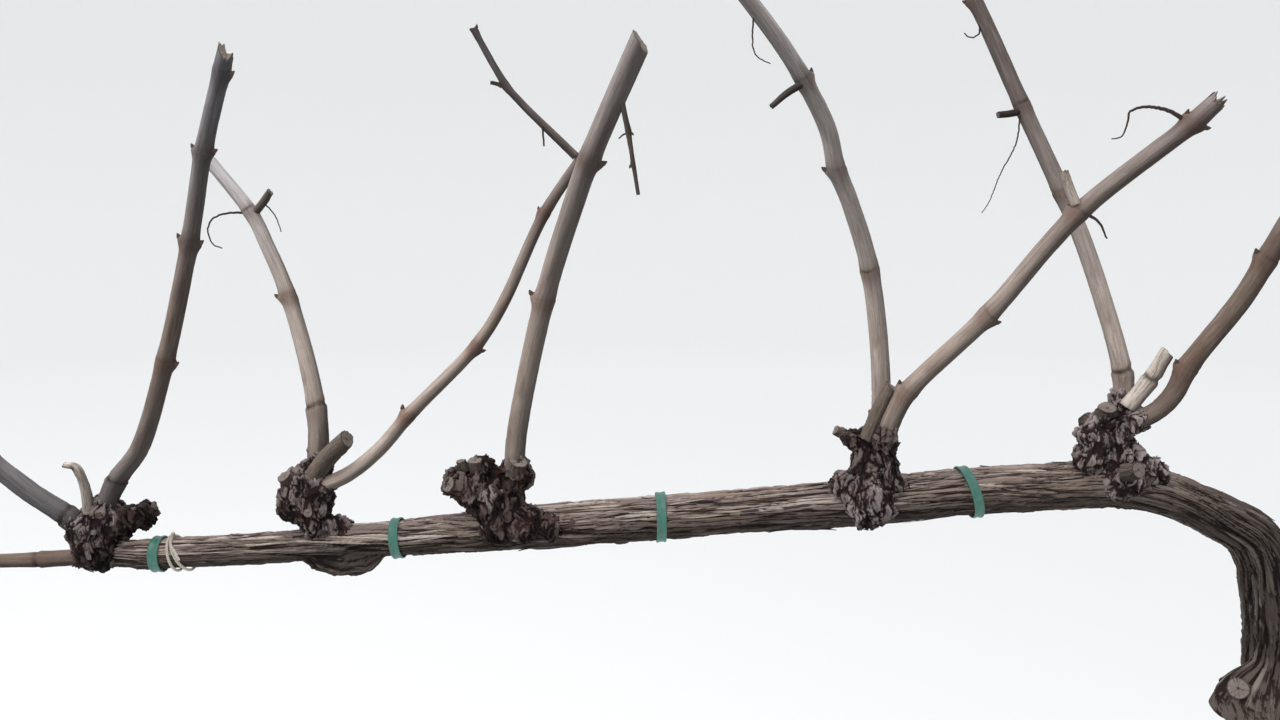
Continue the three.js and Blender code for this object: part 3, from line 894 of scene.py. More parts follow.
def cut_wood(graph, colour, fresh):
    """The colour with the sawn faces' grey wood, faint rings, cracks and pith laid over it."""
    core, grain, cut = graph.attributes("core grain cut")
    ring = graph.noise(graph.join(core * 14, core * 0, core * 0) + graph.noise(grain * 0.15) * 3)
    around = graph.maths("NORMALIZE", grain * (1.0, 1.0, 0.0))
    wood = graph.over(
        graph.mix(ring, (c * 0.75 for c in fresh), fresh),
        (linear("5f534c"), graph.noise(grain * 0.22), 0.4, 0.65, 0.3),
        (linear("332823"), graph.noise(around * 3.5 + grain * 0.1, 3.0), 0.56, 0.64, 0.7),
        (linear("3f2e26"), core, 0.17, 0.1, 0.7),
        (linear("4d413b"), core, 0.84, 0.95),
    )
    return graph.mix(cut, colour, wood)


def bark_finish(look):
    """Old stringy bark: dark fissures, grey-brown strips and pale worn fibres."""

    def paint(graph):
        relief, tone, thread, grain = graph.attributes("relief tone thread grain")
        streak = graph.noise(grain * (1.2, 1.2, 0.025), 4.0, rough=0.7)
        patch = graph.noise(grain * (0.035, 0.035, 0.012))
        raised = relief * 0.75 + (streak - 0.5) * 1.5 + 0.42
        warm = graph.over(look.bark, (look.violet, patch, 0.35, 0.65))
        light = raised + (tone - 0.5) * 0.6 + (thread - 0.5) * 0.4
        colour = graph.over(
            look.fissures, (look.bark, raised, -0.05, 0.36), (warm, raised, 0.12, 0.5, 0.8),
            (look.worn, light, 0.4, 0.9),
        )
        return cut_wood(graph, colour, linear("a8967f")), 0.93, streak, 0.5, 0.2

    return painted("stringy bark", paint, 0.83)


def head_finish(look):
    """Callused heads: purple-brown hollows under grey flaky plates."""

    def paint(graph):
        relief, tone, thread, weathering = graph.attributes("relief tone thread weathering")
        place = graph.node("ShaderNodeTexCoord", None, None, "Object")
        fine = graph.noise(place * (800, 800, 450), 4.0, rough=0.7)
        patch = graph.noise(place * 45)
        grey = graph.noise(place * 60 + 9.0)
        raised = relief * 0.8 + fine - 0.14
        bare = (0.55 - weathering * 0.3) * graph.rise(weathering, -0.6, 0.0, 0.15, 1.0)
        light = raised + (tone - 0.5) * 0.45 + (thread - 0.5) * 0.35 + grey - 0.5
        # Weathering and painted shadow lighten or darken the whole colour.
        dry = graph.maths("MAXIMUM", weathering * 0.6 + 0.9, 0.45)
        colour = graph.over(
            look.hollow, (graph.mix(weathering * 0.4, look.callus, look.flake), raised, 0.0, 0.5),
            (look.rust, patch, 0.5, 0.72, bare), (look.flake, light + weathering * 0.15, 0.5, 1.3),
        )
        return colour * dry, 0.95, fine, 0.8, 0.12

    return painted("callused bark", paint, 0.6)


# The colour of the dark ring round a joint.
JOINT_RING = linear("2c201c")


def cane_finish(look):
    """One to three year canes: fine streaks, worn bark low down and rusty joints."""

    def paint(graph):
        relief, shade, joint, worn, ring, silver, grain = graph.attributes(
            "relief shade joint worn ring silver grain"
        )
        streak = graph.noise(grain * (1.1, 1.1, 0.018), 3.0, rough=0.6)
        broad = graph.noise(grain * (0.16, 0.16, 0.016))
        mottle = graph.noise(grain * (0.3, 0.3, 0.06), 3.0)
        speck = graph.noise(grain * (0.9, 0.9, 0.35))
        patch = graph.noise(grain * (0.1, 0.1, 0.022) + 5.0)
        colour = graph.over(
            graph.mix(shade + (broad - 0.5) * 0.7, look.pale, look.brown),
            (look.rust, patch, 0.52, 0.68, 0.35), (look.rose, mottle, 0.4, 0.7, 0.3),
            (look.streak, streak + relief * 0.15, 0.54, 0.32, 0.3),
            (look.lit, streak + relief * 0.1, 0.55, 0.8, 0.2),
            (look.old, mottle, 0.5, 0.3, 0.25), (look.streak, speck, 0.68, 0.76, 0.4),
        )
        colour = colour * (0.8 + graph.noise(grain * (1.7, 1.7, 0.6), 3.0, rough=0.7) * 0.4)
        colour = graph.mix(worn * (broad + 0.05), colour, look.old)
        rusty = joint * graph.rise(shade, 0.8, 1.1, 0.75, 0.45)
        colour = graph.over(colour, (look.rust, mottle + streak * 0.4, 0.3, 0.75, rusty))
        colour = colour * graph.rise(shade, 1.0, 2.0, 1.0, 0.35)
        # Painted sky glare, with the far end's own greyer bark, turns the colour blue-grey.
        grey = graph.maths("DOT_PRODUCT", colour, (0.3, 0.55, 0.15))
        colour = graph.mix(silver, colour, graph.join(grey * 0.97, grey * 0.99, grey * 1.12))
        colour = graph.mix(ring * 0.85, colour, JOINT_RING)
        return cut_wood(graph, colour, look.wood), 0.8, streak + relief * 0.3, 0.25, 0.18

    return painted("cane bark", paint, 0.81)


def dead_finish(look, name, moss):
    """Weathered dead wood: pale grey, cracked along the grain, with a green-grey bloom."""

    def paint(graph):
        relief, shade, ring, grain = graph.attributes("relief shade ring grain")
        streak = graph.noise(grain * (1.2, 1.2, 0.05), 4.0, rough=0.65)
        colour = graph.over(
            graph.mix(shade, look.pale, look.old),
            (look.streak, streak + relief * 0.25, 0.5, 0.25, 0.6),
            (look.bloom, graph.noise(grain * 0.14, 3.0), 0.52, 0.68, moss),
        )
        colour = colour * graph.rise(shade, 1.0, 2.0, 1.0, 0.25)
        colour = graph.mix(ring * 0.85, colour, JOINT_RING)
        return cut_wood(graph, colour, look.wood), 0.88, streak + relief * 0.4, 0.5, 0.2

    return painted(name, paint, 0.76)


def plain_finish(name, colour, roughness, fine, contrast, gloss=0.25, shade_share=0.6):
    """One colour, broken up by fine noise."""

    def paint(graph):
        place = graph.node("ShaderNodeTexCoord", None, None, "Object")
        grain = graph.noise(place * fine, 3.0, rough=0.6)
        dark = tuple(c * (1 - contrast) for c in colour)
        return graph.mix(graph.rise(grain, 0.3, 0.65), dark, tuple(colour)), roughness, grain, 0.3, gloss

    return painted(name, paint, shade_share)


def pick_colour(name, part, text):
    """A colour that a user may change."""
    return FloatVectorProperty(
        name=name, description="Colour of " + part, default=linear(text), subtype="COLOR", min=0, max=1
    )


def pick_length(name, description, default):
    """A length in millimetres that a user may change."""
    return FloatProperty(name=name, description=description + ", in mm", default=default, min=0)


class StemLook(bpy.types.PropertyGroup):
    """Sizes and colours of the old bark on the trunk and cordon."""

    depth: pick_length("Strip height", "How far strips of bark stand apart", 1.6)
    fissure: pick_length("Fissure depth", "Depth of the fissures between strips", 1.6)
    fibre: pick_length("Fibre height", "Height of the fine fibres", 0.5)
    flute: pick_length("Flute depth", "Depth of the long folds in the wood", 2.4)
    strip_width: pick_length("Strip width", "Usual width of a strip", 4.3)
    strip_length: pick_length("Strip length", "Usual length of a strip", 125.0)
    sides: IntProperty(name="Sides", description="Points round the stem", default=176, min=24)
    step: pick_length("Ring step", "Length between rings of points", 2.1)
    bark: pick_colour("Bark", "the sound strips", "938277")
    violet: pick_colour("Damp bark", "the damper strips", "7b6e6f")
    worn: pick_colour("Worn bark", "the worn strip tops", "c7b9ae")
    fissures: pick_colour("Fissures", "the fissures between strips", "3b2f2b")


class HeadLook(bpy.types.PropertyGroup):
    """Sizes and colours of the callused heads."""

    voxel: FloatProperty(
        name="Grid", description="Grid that the heads are grown on", default=0.0013,
        min=0.0004, unit="LENGTH", subtype="DISTANCE", precision=5,
    )
    plate: pick_length("Plate size", "Usual size of a flaky plate", 11.5)
    lift: pick_length("Plate lift", "How far plates stand apart", 1.7)
    crack: pick_length("Crack depth", "Depth of the cracks between plates", 1.4)
    grit: pick_length("Grit", "Height of the fine roughness", 0.4)
    hollow: pick_colour("Hollows", "the cracks and hollows", "261c1d")
    callus: pick_colour("Callus", "the callused bark", "5d4f4b")
    rust: pick_colour("Inner bark", "the exposed inner bark", "4f342b")
    flake: pick_colour("Flakes", "the dry flakes", "8b8382")


class CaneLook(bpy.types.PropertyGroup):
    """Sizes and colours of the canes, laterals and stubs."""

    depth: pick_length("Rib height", "Height of the fine ribs on a cane", 0.17)
    swell: FloatProperty(
        name="Joint swelling", description="Share of the radius added at a joint", default=0.1,
        min=0, subtype="FACTOR",
    )
    sides: IntProperty(name="Sides", description="Points round a cane", default=80, min=12)
    pale: pick_colour("Pale cane", "the palest canes", "e4d5c9")
    brown: pick_colour("Brown cane", "the brownest canes", "7b6a5e")
    rose: pick_colour("Rosy cane", "the rosy patches", "b69d94")
    lit: pick_colour("Worn cane", "the worn ribs", "d6cac0")
    streak: pick_colour("Streaks", "the dark streaks", "57493f")
    old: pick_colour("Old cane", "the older bark low on a cane", "786a61")
    rust: pick_colour("Joints", "the rusty joints", "6f4d3e")
    wood: pick_colour("Cut wood", "the cut faces", "8c8079")
    bloom: pick_colour("Bloom", "the green-grey bloom", "888d70")


class SmallLook(bpy.types.PropertyGroup):
    """Colours of the ties, twine, buds and tendrils."""

    tie: pick_colour("Tie", "the tie bands", "386a5d")
    twine: pick_colour("Twine", "the twine", "bdb4a8")
    bud: pick_colour("Bud", "the buds", "54423a")
    tendril: pick_colour("Tendril", "the tendrils", "40322c")


class StageLook(bpy.types.PropertyGroup):
    """Camera, floor and light."""

    floor: pick_colour("Floor", "the floor and backdrop", "e9e9e8")
    key: FloatProperty(name="Sky panel", description="Power of the panel overhead in watts", default=50)
    fill: FloatProperty(name="Fill", description="Power of the front fill in watts", default=10)
    lens: FloatProperty(name="Lens", description="Focal length of the camera", default=28.125, unit="CAMERA")
    pitch: FloatProperty(
        name="Pitch", description="How far the camera looks down", default=math.radians(6.8),
        unit="ROTATION", subtype="ANGLE",
    )


LOOKS = {
    "vine_stem": StemLook, "vine_heads": HeadLook, "vine_canes": CaneLook,
    "vine_small": SmallLook, "vine_stage": StageLook,
}


class Maker:
    """What every operator here shares."""

    bl_options = {"REGISTER", "UNDO"}

    def execute(self, context):
        self.make(context.scene)
        return {"FINISHED"}


def burl_reach(place, out, burl):
    """How far a burl reaches from each place in each direction, and how squarely it is met."""
    radii = np.array(burl.radii, float)
    start = (place - np.array(burl.middle)) / radii
    way = out / radii
    a = (way**2).sum(-1)
    b = (start * way).sum(-1)
    inner = b**2 - a * ((start**2).sum(-1) - 1)
    return (np.sqrt(np.maximum(inner, 0)) - b) / a, smooth_step(inner / a / 0.6)


def stem_reach(length, angle):
    """The stem's radius at each length and angle, with its burls blended in."""
    length, angle = np.broadcast_arrays(length, angle)
    radius = stem_radius(length)
    place, _, out = STEM.at(length, angle)
    lumps = 0.05 * np.sin(length / 6.5 + 4 * angle) + 0.03 * np.sin(length / 3.9 - 7 * angle)
    for burl in BURLS:
        reach, square = burl_reach(place, out, burl)
        radius += 5 * np.logaddexp(0, (reach * (1 + lumps) - radius) / 5) * square * (reach > 0)
    return radius


def stem_piece(name, start, end, look, cut):
    """A length of the stem as a closed tube with its fields."""
    lengths = spread(start, end, look.step)
    form = tube(STEM, lengths, look.sides, stem_reach, STEM_GIRTH, STEM_TWIST, cut=cut)
    place, length, facing = form.points, form.fields["length"], form.fields["out"] @ np.array(SKY)
    age = 1 - 0.7 * hump(length - stem_length_at(TWINE_PLACE), 5)
    for tie in TIES:
        age -= 0.9 * hump(length - stem_length_at(tie.place), 8, 4)
    calm = place[:, 2] < BARE_FOOT
    # How much painted shade each burl gives the bark round it; the burl under the cordon lies in its shadow.
    hidden = np.zeros_like(length)
    for burl in BURLS:
        away = np.linalg.norm((place - np.array(burl.middle)) / (np.array(burl.radii) + 9), axis=1)
        calm |= away < 1
        hidden = np.maximum(hidden, burl.shade * (1 - smooth_step((away - 0.7) / 0.4)))
    # Painted shade is deepest low on the trunk and fades over about 200 mm of the cordon; round each burl it
    # takes the burl's share.
    low = 1 - smooth_step((length - TRUNK_TOP - 10) / 200)
    low += (hidden - low) * np.minimum(1, hidden * 2)
    form.fields.update(
        age=np.maximum(age, 0.1),
        calm=calm.astype(float),
        bent=0.62 * hump(length - TRUNK_TOP - 70, 110, 4) + 0.15,
        damp=1 - smooth_step((facing + 0.42) / 1.35) * (1 - 0.9 * low),
    )
    return mesh_piece(name, place, form.faces, **form.fields)


def level_foot(piece):
    """Flattens the foot of a piece on the ground."""
    spots = np.empty(len(piece.data.vertices) * 3, np.float32)
    piece.data.vertices.foreach_get("co", spots)
    spots[2::3] = np.maximum(spots[2::3], 0)
    piece.data.vertices.foreach_set("co", spots)
    piece.data.update()


class GRAPEVINE_OT_stem(Maker, bpy.types.Operator):
    """Grow the trunk and the cordon with their stringy bark"""

    bl_idname = "grapevine.stem"
    bl_label = "Trunk and cordon"

    def make(self, scene):
        look = scene.vine_stem
        tree, material = bark_tree(), bark_finish(look)
        ranges = (("trunk", GROUND_AT, TRUNK_TOP + 3), ("cordon", TRUNK_TOP - 3, STEM.length))
        for node, start, end in ranges:
            piece = stem_piece(node + "_bark", start, end, look, node == "cordon")
            grow(piece, tree, look, seed=0.0, material=material)
            if node == "trunk":
                level_foot(piece)
            keep(piece, "stem_bark", node)


def ribbon(name, length, width, thickness, stations, lift, sway):
    """A thin closed strip that lifts from the surface towards its free end."""
    along = np.linspace(0, 1, stations)
    half = width / 2 * np.clip(np.sin(np.pi * np.clip(along * 0.94 + 0.05, 0, 1)) ** 0.4, 0.12, 1)
    high = lift * along**2.6 - 0.25 * (1 - along)
    side = sway * np.sin(along * 2.6) * along
    points = []
    for t, h, z, y in zip(along, half, high, side):
        x = length * (t - 0.5)
        points += [(x, y - h, z - 0.3), (x, y, z + thickness), (x, y + h, z - 0.2), (x, y, z - 0.1)]
    ends = [(3, 2, 1, 0), tuple(range(4 * stations - 4, 4 * stations))]
    return mesh_piece(name, points, ends + rings(stations, 4, flip=True))


def flake(name, size, thickness, seed):
    """A thin broken plate of bark with a ragged outline."""
    rng = np.random.default_rng(seed)
    sides = 9
    points = []
    for level in (0, thickness):
        for i in range(sides):
            turn = 2 * math.pi * (i + rng.uniform(-0.3, 0.3)) / sides
            reach = size / 2 * rng.uniform(0.6, 1.1)
            x, y = reach * math.cos(turn) * 1.3, reach * math.sin(turn) * 0.75
            points.append((x, y, level + 0.05 * x * x / size - 0.1))
        points.append((0, 0, level + thickness * 0.4 - 0.1))
    faces = []
    for i in range(sides):
        j = (i + 1) % sides
        faces += [(j, i, sides), (i + sides + 1, j + sides + 1, 2 * sides + 1)]
        faces.append((i, j, j + sides + 1, i + sides + 1))
    return mesh_piece(name, points, faces)


def scatter(kind, slot, surfaces, shapes, tones, seed, **inputs):
    """Scatters small pieces over each surface, a new mesh for each shape in its own tone."""
    tree = scatter_tree()
    for base, density in surfaces.items():
        surface = bpy.data.objects[base + "_bark"]
        for i, (shape, material) in enumerate(zip(shapes, tones)):
            scattered = surface.copy()
            scattered.data = surface.data.copy()
            scattered.name = f"{base}_{kind}_{i + 1}"
            bpy.context.scene.collection.objects.link(scattered)
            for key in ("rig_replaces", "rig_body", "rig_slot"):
                if key in scattered:
                    del scattered[key]
            grow(
                scattered, tree, piece=shape, material=material, density=density, seed=seed + i,
                **inputs,
            )
            keep(scattered, slot)
    for shape in shapes:
        bpy.data.objects.remove(shape)


class GRAPEVINE_OT_loose_bark(Maker, bpy.types.Operator):
    """Hang loose shreds of bark along the trunk and the cordon"""

    bl_idname = "grapevine.loose_bark"
    bl_label = "Loose bark"

    def make(self, scene):
        tones = [
            plain_finish("shred pale", linear("b0a399"), 0.92, 700, 0.45, 0.2, 0.85),
            plain_finish("shred brown", linear("84746b"), 0.92, 700, 0.5, 0.2, 0.82),
            plain_finish("shred dark", linear("51464a"), 0.92, 700, 0.4, 0.2, 0.7),
        ]
        shapes = [
            ribbon("shred_a", 44, 2.0, 0.25, 9, 0.7, 1.5), ribbon("shred_b", 58, 1.6, 0.2, 10, 0.5, -2.0),
            ribbon("shred_c", 28, 2.4, 0.3, 8, 1.0, 0.8),
        ]
        scatter(
            "shreds", "stem_bark", {"trunk": 1200.0, "cordon": 4600 / 3}, shapes, tones, 31,
            small=0.4, large=1.15, yaw=0.06, tilt=0.022,
        )


# Each lump of a cane's collar: its length up the cane and how much thicker than the cane it is.
COLLAR = [(2, 3.0), (9, 1.6), (15, -0.6)]
COLLAR_REACH = 62


def collars(middle):
    """Lumps that swell round the feet of the canes that leave a head."""
    return [
        (*map(float, LINES[name].at(length)[0]), limb.radii[0] + extra, COLLAR_BLEND)
        for name, limb in LIMBS.items()
        if limb.finish == "cane" and math.dist(limb.foot, middle) < COLLAR_REACH
        for length, extra in COLLAR
    ]


def placed(middle, offsets):
    """The same rows with the offset that starts each turned into a place."""
    return [(*(np.array(middle, float) + row[:3]).tolist(), *row[3:]) for row in offsets]


class GRAPEVINE_OT_heads(Maker, bpy.types.Operator):
    """Grow the five callused pruning heads"""

    bl_idname = "grapevine.heads"
    bl_label = "Heads"

    def make(self, scene):
        look = scene.vine_heads
        material = head_finish(look)
        for i, (name, head) in enumerate(HEADS.items()):
            middle, knobs = head.middle, placed(head.middle, head.knobs)
            lumps = [(*knob[:3], knob[3] - 0.6, KNOB_BLEND) for knob in knobs] + collars(middle)
            spots = np.array([lump[:4] for lump in lumps])
            low = (spots[:, :3] - spots[:, 3:]).min(0) - 9
            high = (spots[:, :3] + spots[:, 3:]).max(0) + 9
            hollows, patches = placed(middle, head.hollows), placed(middle, head.patches)
            tree = head_tree(name, middle, lumps, hollows, patches, low.tolist(), high.tolist(), look.voxel)
            piece = mesh_piece(name + "_bark", [(0, 0, 0)], [])
            foot, top = head.weathering
            grow(piece, tree, look, seed=float(i + 1), foot=foot, top=top, material=material)
            keep(piece, "head_bark", name)


class GRAPEVINE_OT_head_flakes(Maker, bpy.types.Operator):
    """Lay loose flakes over the heads"""

    bl_idname = "grapevine.head_flakes"
    bl_label = "Head flakes"

    def make(self, scene):
        tones = [
            plain_finish("flake " + name, linear(text), 0.95, 1100, 0.5, 0.15, shade_share)
            for name, text, shade_share in (
                ("grey", "7b7372", 0.7), ("brown", "584a46", 0.65), ("dark", "332a2b", 0.6)
            )
        ]
        shapes = [flake(f"flake_{i}", 8.0 - i, 0.3, 71 + i) for i in range(3)]
        scatter(
            "flakes", "head_bark", dict.fromkeys(HEADS, 900), shapes, tones, 51,
            small=0.5, large=1.2, yaw=0.5, tilt=0.16,
        )


# The most that old bark reaches up a limb, and the length between rows of points on a limb.
SHEATH_LENGTH, LIMB_STEP = 60, 2.4


def uneven(angle, number):
    """How far a joint wanders up and down the limb on its way round, in mm."""
    return 1.1 * np.sin(angle + 2.1 * number + 0.8) + 0.5 * np.sin(3 * angle + number)


def limb_form(limb, line, look, seed):
    """One limb as a closed tube with its joints, collar and cut end."""
    joints = joints_of(limb, line)
    # A ring low on a limb ends the old bark that sheathes its foot.
    sheath = 0 if joints and joints[0][1] == RING and joints[0][0] < SHEATH_LENGTH else None
    foot = limb.radii[0]
    rng = np.random.default_rng(seed)

    def radius(length, angle):
        swell = 0.02 * np.sin(2 * angle + length / 70) + 0.012 * np.sin(3 * angle - length / 55)
        for number, (mark, kind) in enumerate(joints):
            away = length - mark - uneven(angle, number)
            swell += look.swell * hump(away, 8) + 0.02 * hump(away + 0.5, 1.4)
            swell -= 0.025 * hump(away - 2.6, 1.4)
            for face in BUD_ANGLES[kind]:
                ledge = hump(away, np.where(away < 0, 5.0, 2.4))
                swell += 0.32 * ledge * (0.5 + 0.5 * np.cos(angle - face)) ** 3.5
            if number == sheath:
                front = (0.5 - 0.5 * np.cos(angle + 0.4)) ** 1.5
                swell += 0.07 * (1 - smooth_step((away + 1) / 2.5))
                swell -= 0.17 * hump(away - 1.8, 2.2) * front
        return limb.radius(np.clip(length / line.length, 0, 1)) * (1 + swell)

    lengths = spread(0, line.length, LIMB_STEP, [*(mark for mark, _ in joints), line.length])
    sides = max(20, int(look.sides * min(1, (foot + 3) / 12)))
    form = tube(
        line, lengths, sides, radius, limb.radius(0.5), LIMB_TWIST, limb.slant, limb.ragged, seed=seed
    )
    length, grain = form.fields["length"], form.fields["grain"]
    angle = np.arctan2(grain[:, 1], grain[:, 0]) - grain_turn(length, LIMB_TWIST)
    joint, ring = np.zeros_like(length), np.zeros_like(length)
    for number, (mark, kind) in enumerate(joints):
        away = length - mark - uneven(angle, number)
        rust = rng.uniform(0.5, 1.0) * (0.5 if number == sheath else 1)
        joint = np.maximum(joint, rust * hump(away + 2, 9))
        width, strength = (2.3, 1.0) if number == sheath else (1.4, rng.uniform(0.1, 0.4))
        strength = max(strength, 0.8 * (kind == RING)) * (0.7 + 0.3 * np.sin(2 * angle + number))
        ring = np.maximum(ring, strength * hump(away - 2.2, width))
    # Canes are painted greyer high up, a painted glare of the bright sky that is strongest towards
    # the far end of the cordon; the limbs at the far end are also greyer in their own bark.
    x, _, z = form.points.T
    silver = smooth_step((z - 790) / 240) * (0.4 + 0.6 * smooth_step((-x - 500) / 350))
    silver = np.maximum(silver, 0.7 * smooth_step((-x - 900) / 100)) * smooth_step((z - 628) / 15)
    old = (1 - smooth_step((length - 25) / 60)) * (foot > 7)
    low, high = limb.shades
    form.fields.update(
        age=0.75 + 1.6 * old + 0.8 * joint,
        worn=old * (1 - 0.7 * (low < 0.3)),
        joint=joint,
        ring=ring * (1 - form.fields["cut"]),
        silver=0.8 * silver,
        shade=low + (high - low) * smooth_step(length / line.length),
    )
    return form


class GRAPEVINE_OT_canes(Maker, bpy.types.Operator):
    """Grow the canes, laterals, spurs and stubs"""

    bl_idname = "grapevine.canes"
    bl_label = "Canes and stubs"

    def make(self, scene):
        look, tree = scene.vine_canes, bark_tree()
        finishes = {
            "cane": cane_finish(look), "dead": dead_finish(look, "dead wood", 0.25),
            "mossy": dead_finish(look, "mossy wood", 0.8),
        }
        for i, (name, limb) in enumerate(LIMBS.items()):
            piece = joined(name + "_bark", [limb_form(limb, LINES[name], look, 200 + i)])
            depth = look.depth * (1.0 if limb.finish == "cane" else 1.9)
            grow(
                piece, tree, depth=depth, fissure=depth * 0.9, fibre=look.depth * 0.5,
                flute=look.depth * 2.2, strip_width=1.8, strip_length=70.0, seed=float(3 * i + 1),
                material=finishes[limb.finish],
            )
            keep(piece, "cane_bark" if limb.finish == "cane" else "dead_wood", name)


class GRAPEVINE_OT_stumps(Maker, bpy.types.Operator):
    """Set the old sawn stumps into the heads"""

    bl_idname = "grapevine.stumps"
    bl_label = "Old cuts"

    def make(self, scene):
        tree, material = bark_tree(), bpy.data.materials["dead wood"]
        groups = {name: placed(head.middle, head.stumps) for name, head in HEADS.items()}
        groups["trunk"] = [TRUNK_KNOT]
        for number, (name, stumps) in enumerate(groups.items()):
            forms = []
            for i, (*foot, radius, length, lean, turn) in enumerate(stumps):
                run = [(length / 2, lean, turn)] * 2
                limb = Limb("dead", (1.2, 1.2), foot, (radius * 1.15, radius), 0.12, 0.5, run)
                forms.append(limb_form(limb, Line(foot, run), scene.vine_canes, 400 + 10 * number + i))
            piece = joined(name + "_stumps", forms)
            grow(
                piece, tree, depth=0.7, fissure=0.7, fibre=0.2, flute=0.5, strip_width=3.0,
                strip_length=30.0, seed=float(40 + number), material=material,
            )
            keep(piece, "dead_wood")


# Each ring of a bud: its place up the cane, its place out from it, and its radius.
BUD_RINGS = [
    (-0.6, -1.6, 2.5), (-0.2, -0.1, 2.6), (0.9, 1.2, 2.3), (2.2, 2.3, 1.5), (3.2, 3.0, 0.8),
    (3.7, 3.3, 0.25),
]


def bud(name):
    """A blunt winter bud that points out and up from its ledge."""
    sides, lean, points = 10, math.radians(42), []
    for up, out, radius in BUD_RINGS:
        for turn in circle(sides):
            wide, deep = radius * math.cos(turn), radius * math.sin(turn)
            points.append((up + deep * math.cos(lean), wide, out - deep * math.sin(lean)))
    ends = [tuple(range(sides)), tuple(reversed(range(len(points) - sides, len(points))))]
    return mesh_piece(name, points, rings(len(BUD_RINGS), sides) + ends)


class GRAPEVINE_OT_buds(Maker, bpy.types.Operator):
    """Set the winter buds at the joints"""

    bl_idname = "grapevine.buds"
    bl_label = "Buds"

    def make(self, scene):
        rows = []
        for name, limb in LIMBS.items():
            line = LINES[name]
            for number, (mark, kind) in enumerate(joints_of(limb, line)):
                for angle in BUD_ANGLES[kind]:
                    place, along, out = line.at(mark + 1.2 + uneven(angle, number), angle)
                    radius = limb.radius(mark / line.length)
                    rows.append((place + out * radius * 1.22, out, along, 0.4 + radius / 19))
        spots, out, along, size = (np.array(column) for column in zip(*rows))
        piece, shape = mesh_piece("buds", spots, [], out=out, along=along, size=size), bud("bud")
        colour = plain_finish("bud scales", scene.vine_small.bud, 0.8, 800, 0.5)
        grow(piece, bud_tree(), piece=shape, material=colour)
        bpy.data.objects.remove(shape)
        keep(piece, "cane_bark")


def strand_piece(name, strands, material):
    """One mesh of several strands, each with its places and its radius at each place."""
    edges, start = [], 0
    for spots, _ in strands:
        edges += [(start + k, start + k + 1) for k in range(len(spots) - 1)]
        start += len(spots)
    points, thick = (np.concatenate(column) for column in zip(*strands))
    piece = mesh_piece(name, points, [], edges, thick=thick)
    return grow(piece, strand_tree(), sides=8, material=material)


class GRAPEVINE_OT_tendrils(Maker, bpy.types.Operator):
    """Grow the dry tendrils and twiglets"""

    bl_idname = "grapevine.tendrils"
    bl_label = "Tendrils"

    def make(self, scene):
        strands = []
        rng = np.random.default_rng(8)
        for limb, length, side, (thick, thin), run in STRANDS:
            place, _, out = LINES[limb].at(length, math.radians(side))
            radius = LIMBS[limb].radius(length / LINES[limb].length)
            line = Line(place + out * (radius - 1.5), run)
            lengths = np.linspace(0, line.length, max(8, int(line.length / 1.6)))
            spots = line.at(lengths)[0]
            spots[2:] += rng.normal(0, 0.16, (len(spots) - 2, 3))
            strands.append((spots, thick + (thin - thick) * (lengths / line.length) ** 0.7))
        colour = plain_finish("dry tendril", scene.vine_small.tendril, 0.85, 900, 0.5)
        keep(strand_piece("tendrils", strands, colour), "cane_bark")


def band(name, tie, width, thickness):
    """A flat band round the cordon, closed on itself, with rounded edges."""
    at, sides = stem_length_at(tie.place), 96
    angles, half = circle(sides), width / 2
    right = [
        (half - 0.3, 0), (half, 0.15), (half, thickness - 0.35), (half - 0.5, thickness),
        (half * 0.62, thickness), (half * 0.4, thickness - 0.4),
    ]
    left = [(-offset, rise) for offset, rise in reversed(right)]
    outline = [*right, (0, thickness - 0.5), *left]
    points = []
    for offset, rise in outline:
        radius = stem_radius(at) + TIE_CLEARANCE + rise
        reach = at + offset - math.tan(math.radians(tie.lean)) * radius * np.sin(angles)
        place, _, out = STEM.at(reach, angles)
        points.append(place + radius * out)
    return mesh_piece(name, np.concatenate(points), rings(len(outline), sides, flip=True, wrap=True))


class GRAPEVINE_OT_ties(Maker, bpy.types.Operator):
    """Fasten the flat ties round the cordon"""

    bl_idname = "grapevine.ties"
    bl_label = "Ties"

    def make(self, scene):
        colour = plain_finish("tie band", scene.vine_small.tie, 0.45, 300, 0.2, 0.5)
        for i, tie in enumerate(TIES):
            piece = band(f"tie_{i + 1}_band", tie, TIE_WIDTH, TIE_THICKNESS)
            piece.data.materials.append(colour)
            piece.data.shade_smooth()
            keep(piece, "tie_band", f"tie_{i + 1}")


class GRAPEVINE_OT_twine(Maker, bpy.types.Operator):
    """Wind the twine round the cordon and knot it"""

    bl_idname = "grapevine.twine"
    bl_label = "Twine"

    def make(self, scene):
        at, strands = stem_length_at(TWINE_PLACE), []
        for start, end, lean, shift in TWINE_LOOPS:
            angles = np.radians(np.linspace(start, end, int((end - start) / 2.4)))
            loose = smooth_step((np.degrees(angles) - end + 50) / 50)
            radius = stem_radius(at) + TWINE_CLEARANCE + 5 * loose**2 + 0.25 * np.sin(angles * 3.1 + shift)
            slope = -math.tan(math.radians(lean)) * radius * np.sin(angles)
            place, along, out = STEM.at(at + shift + slope - 5 * loose, angles)
            for ply in range(PLIES):
                lay = 2 * np.pi * ply / PLIES + angles * PLY_TURNS
                spots = place + (radius + PLY_OFFSET * np.cos(lay))[:, None] * out
                spots += PLY_OFFSET * np.sin(lay)[:, None] * along
                strands.append((spots, np.full(len(spots), PLY_RADIUS)))
        colour = plain_finish("twine", scene.vine_small.twine, 0.9, 1500, 0.35)
        keep(strand_piece("twine_turns", strands, colour), "twine", "twine")


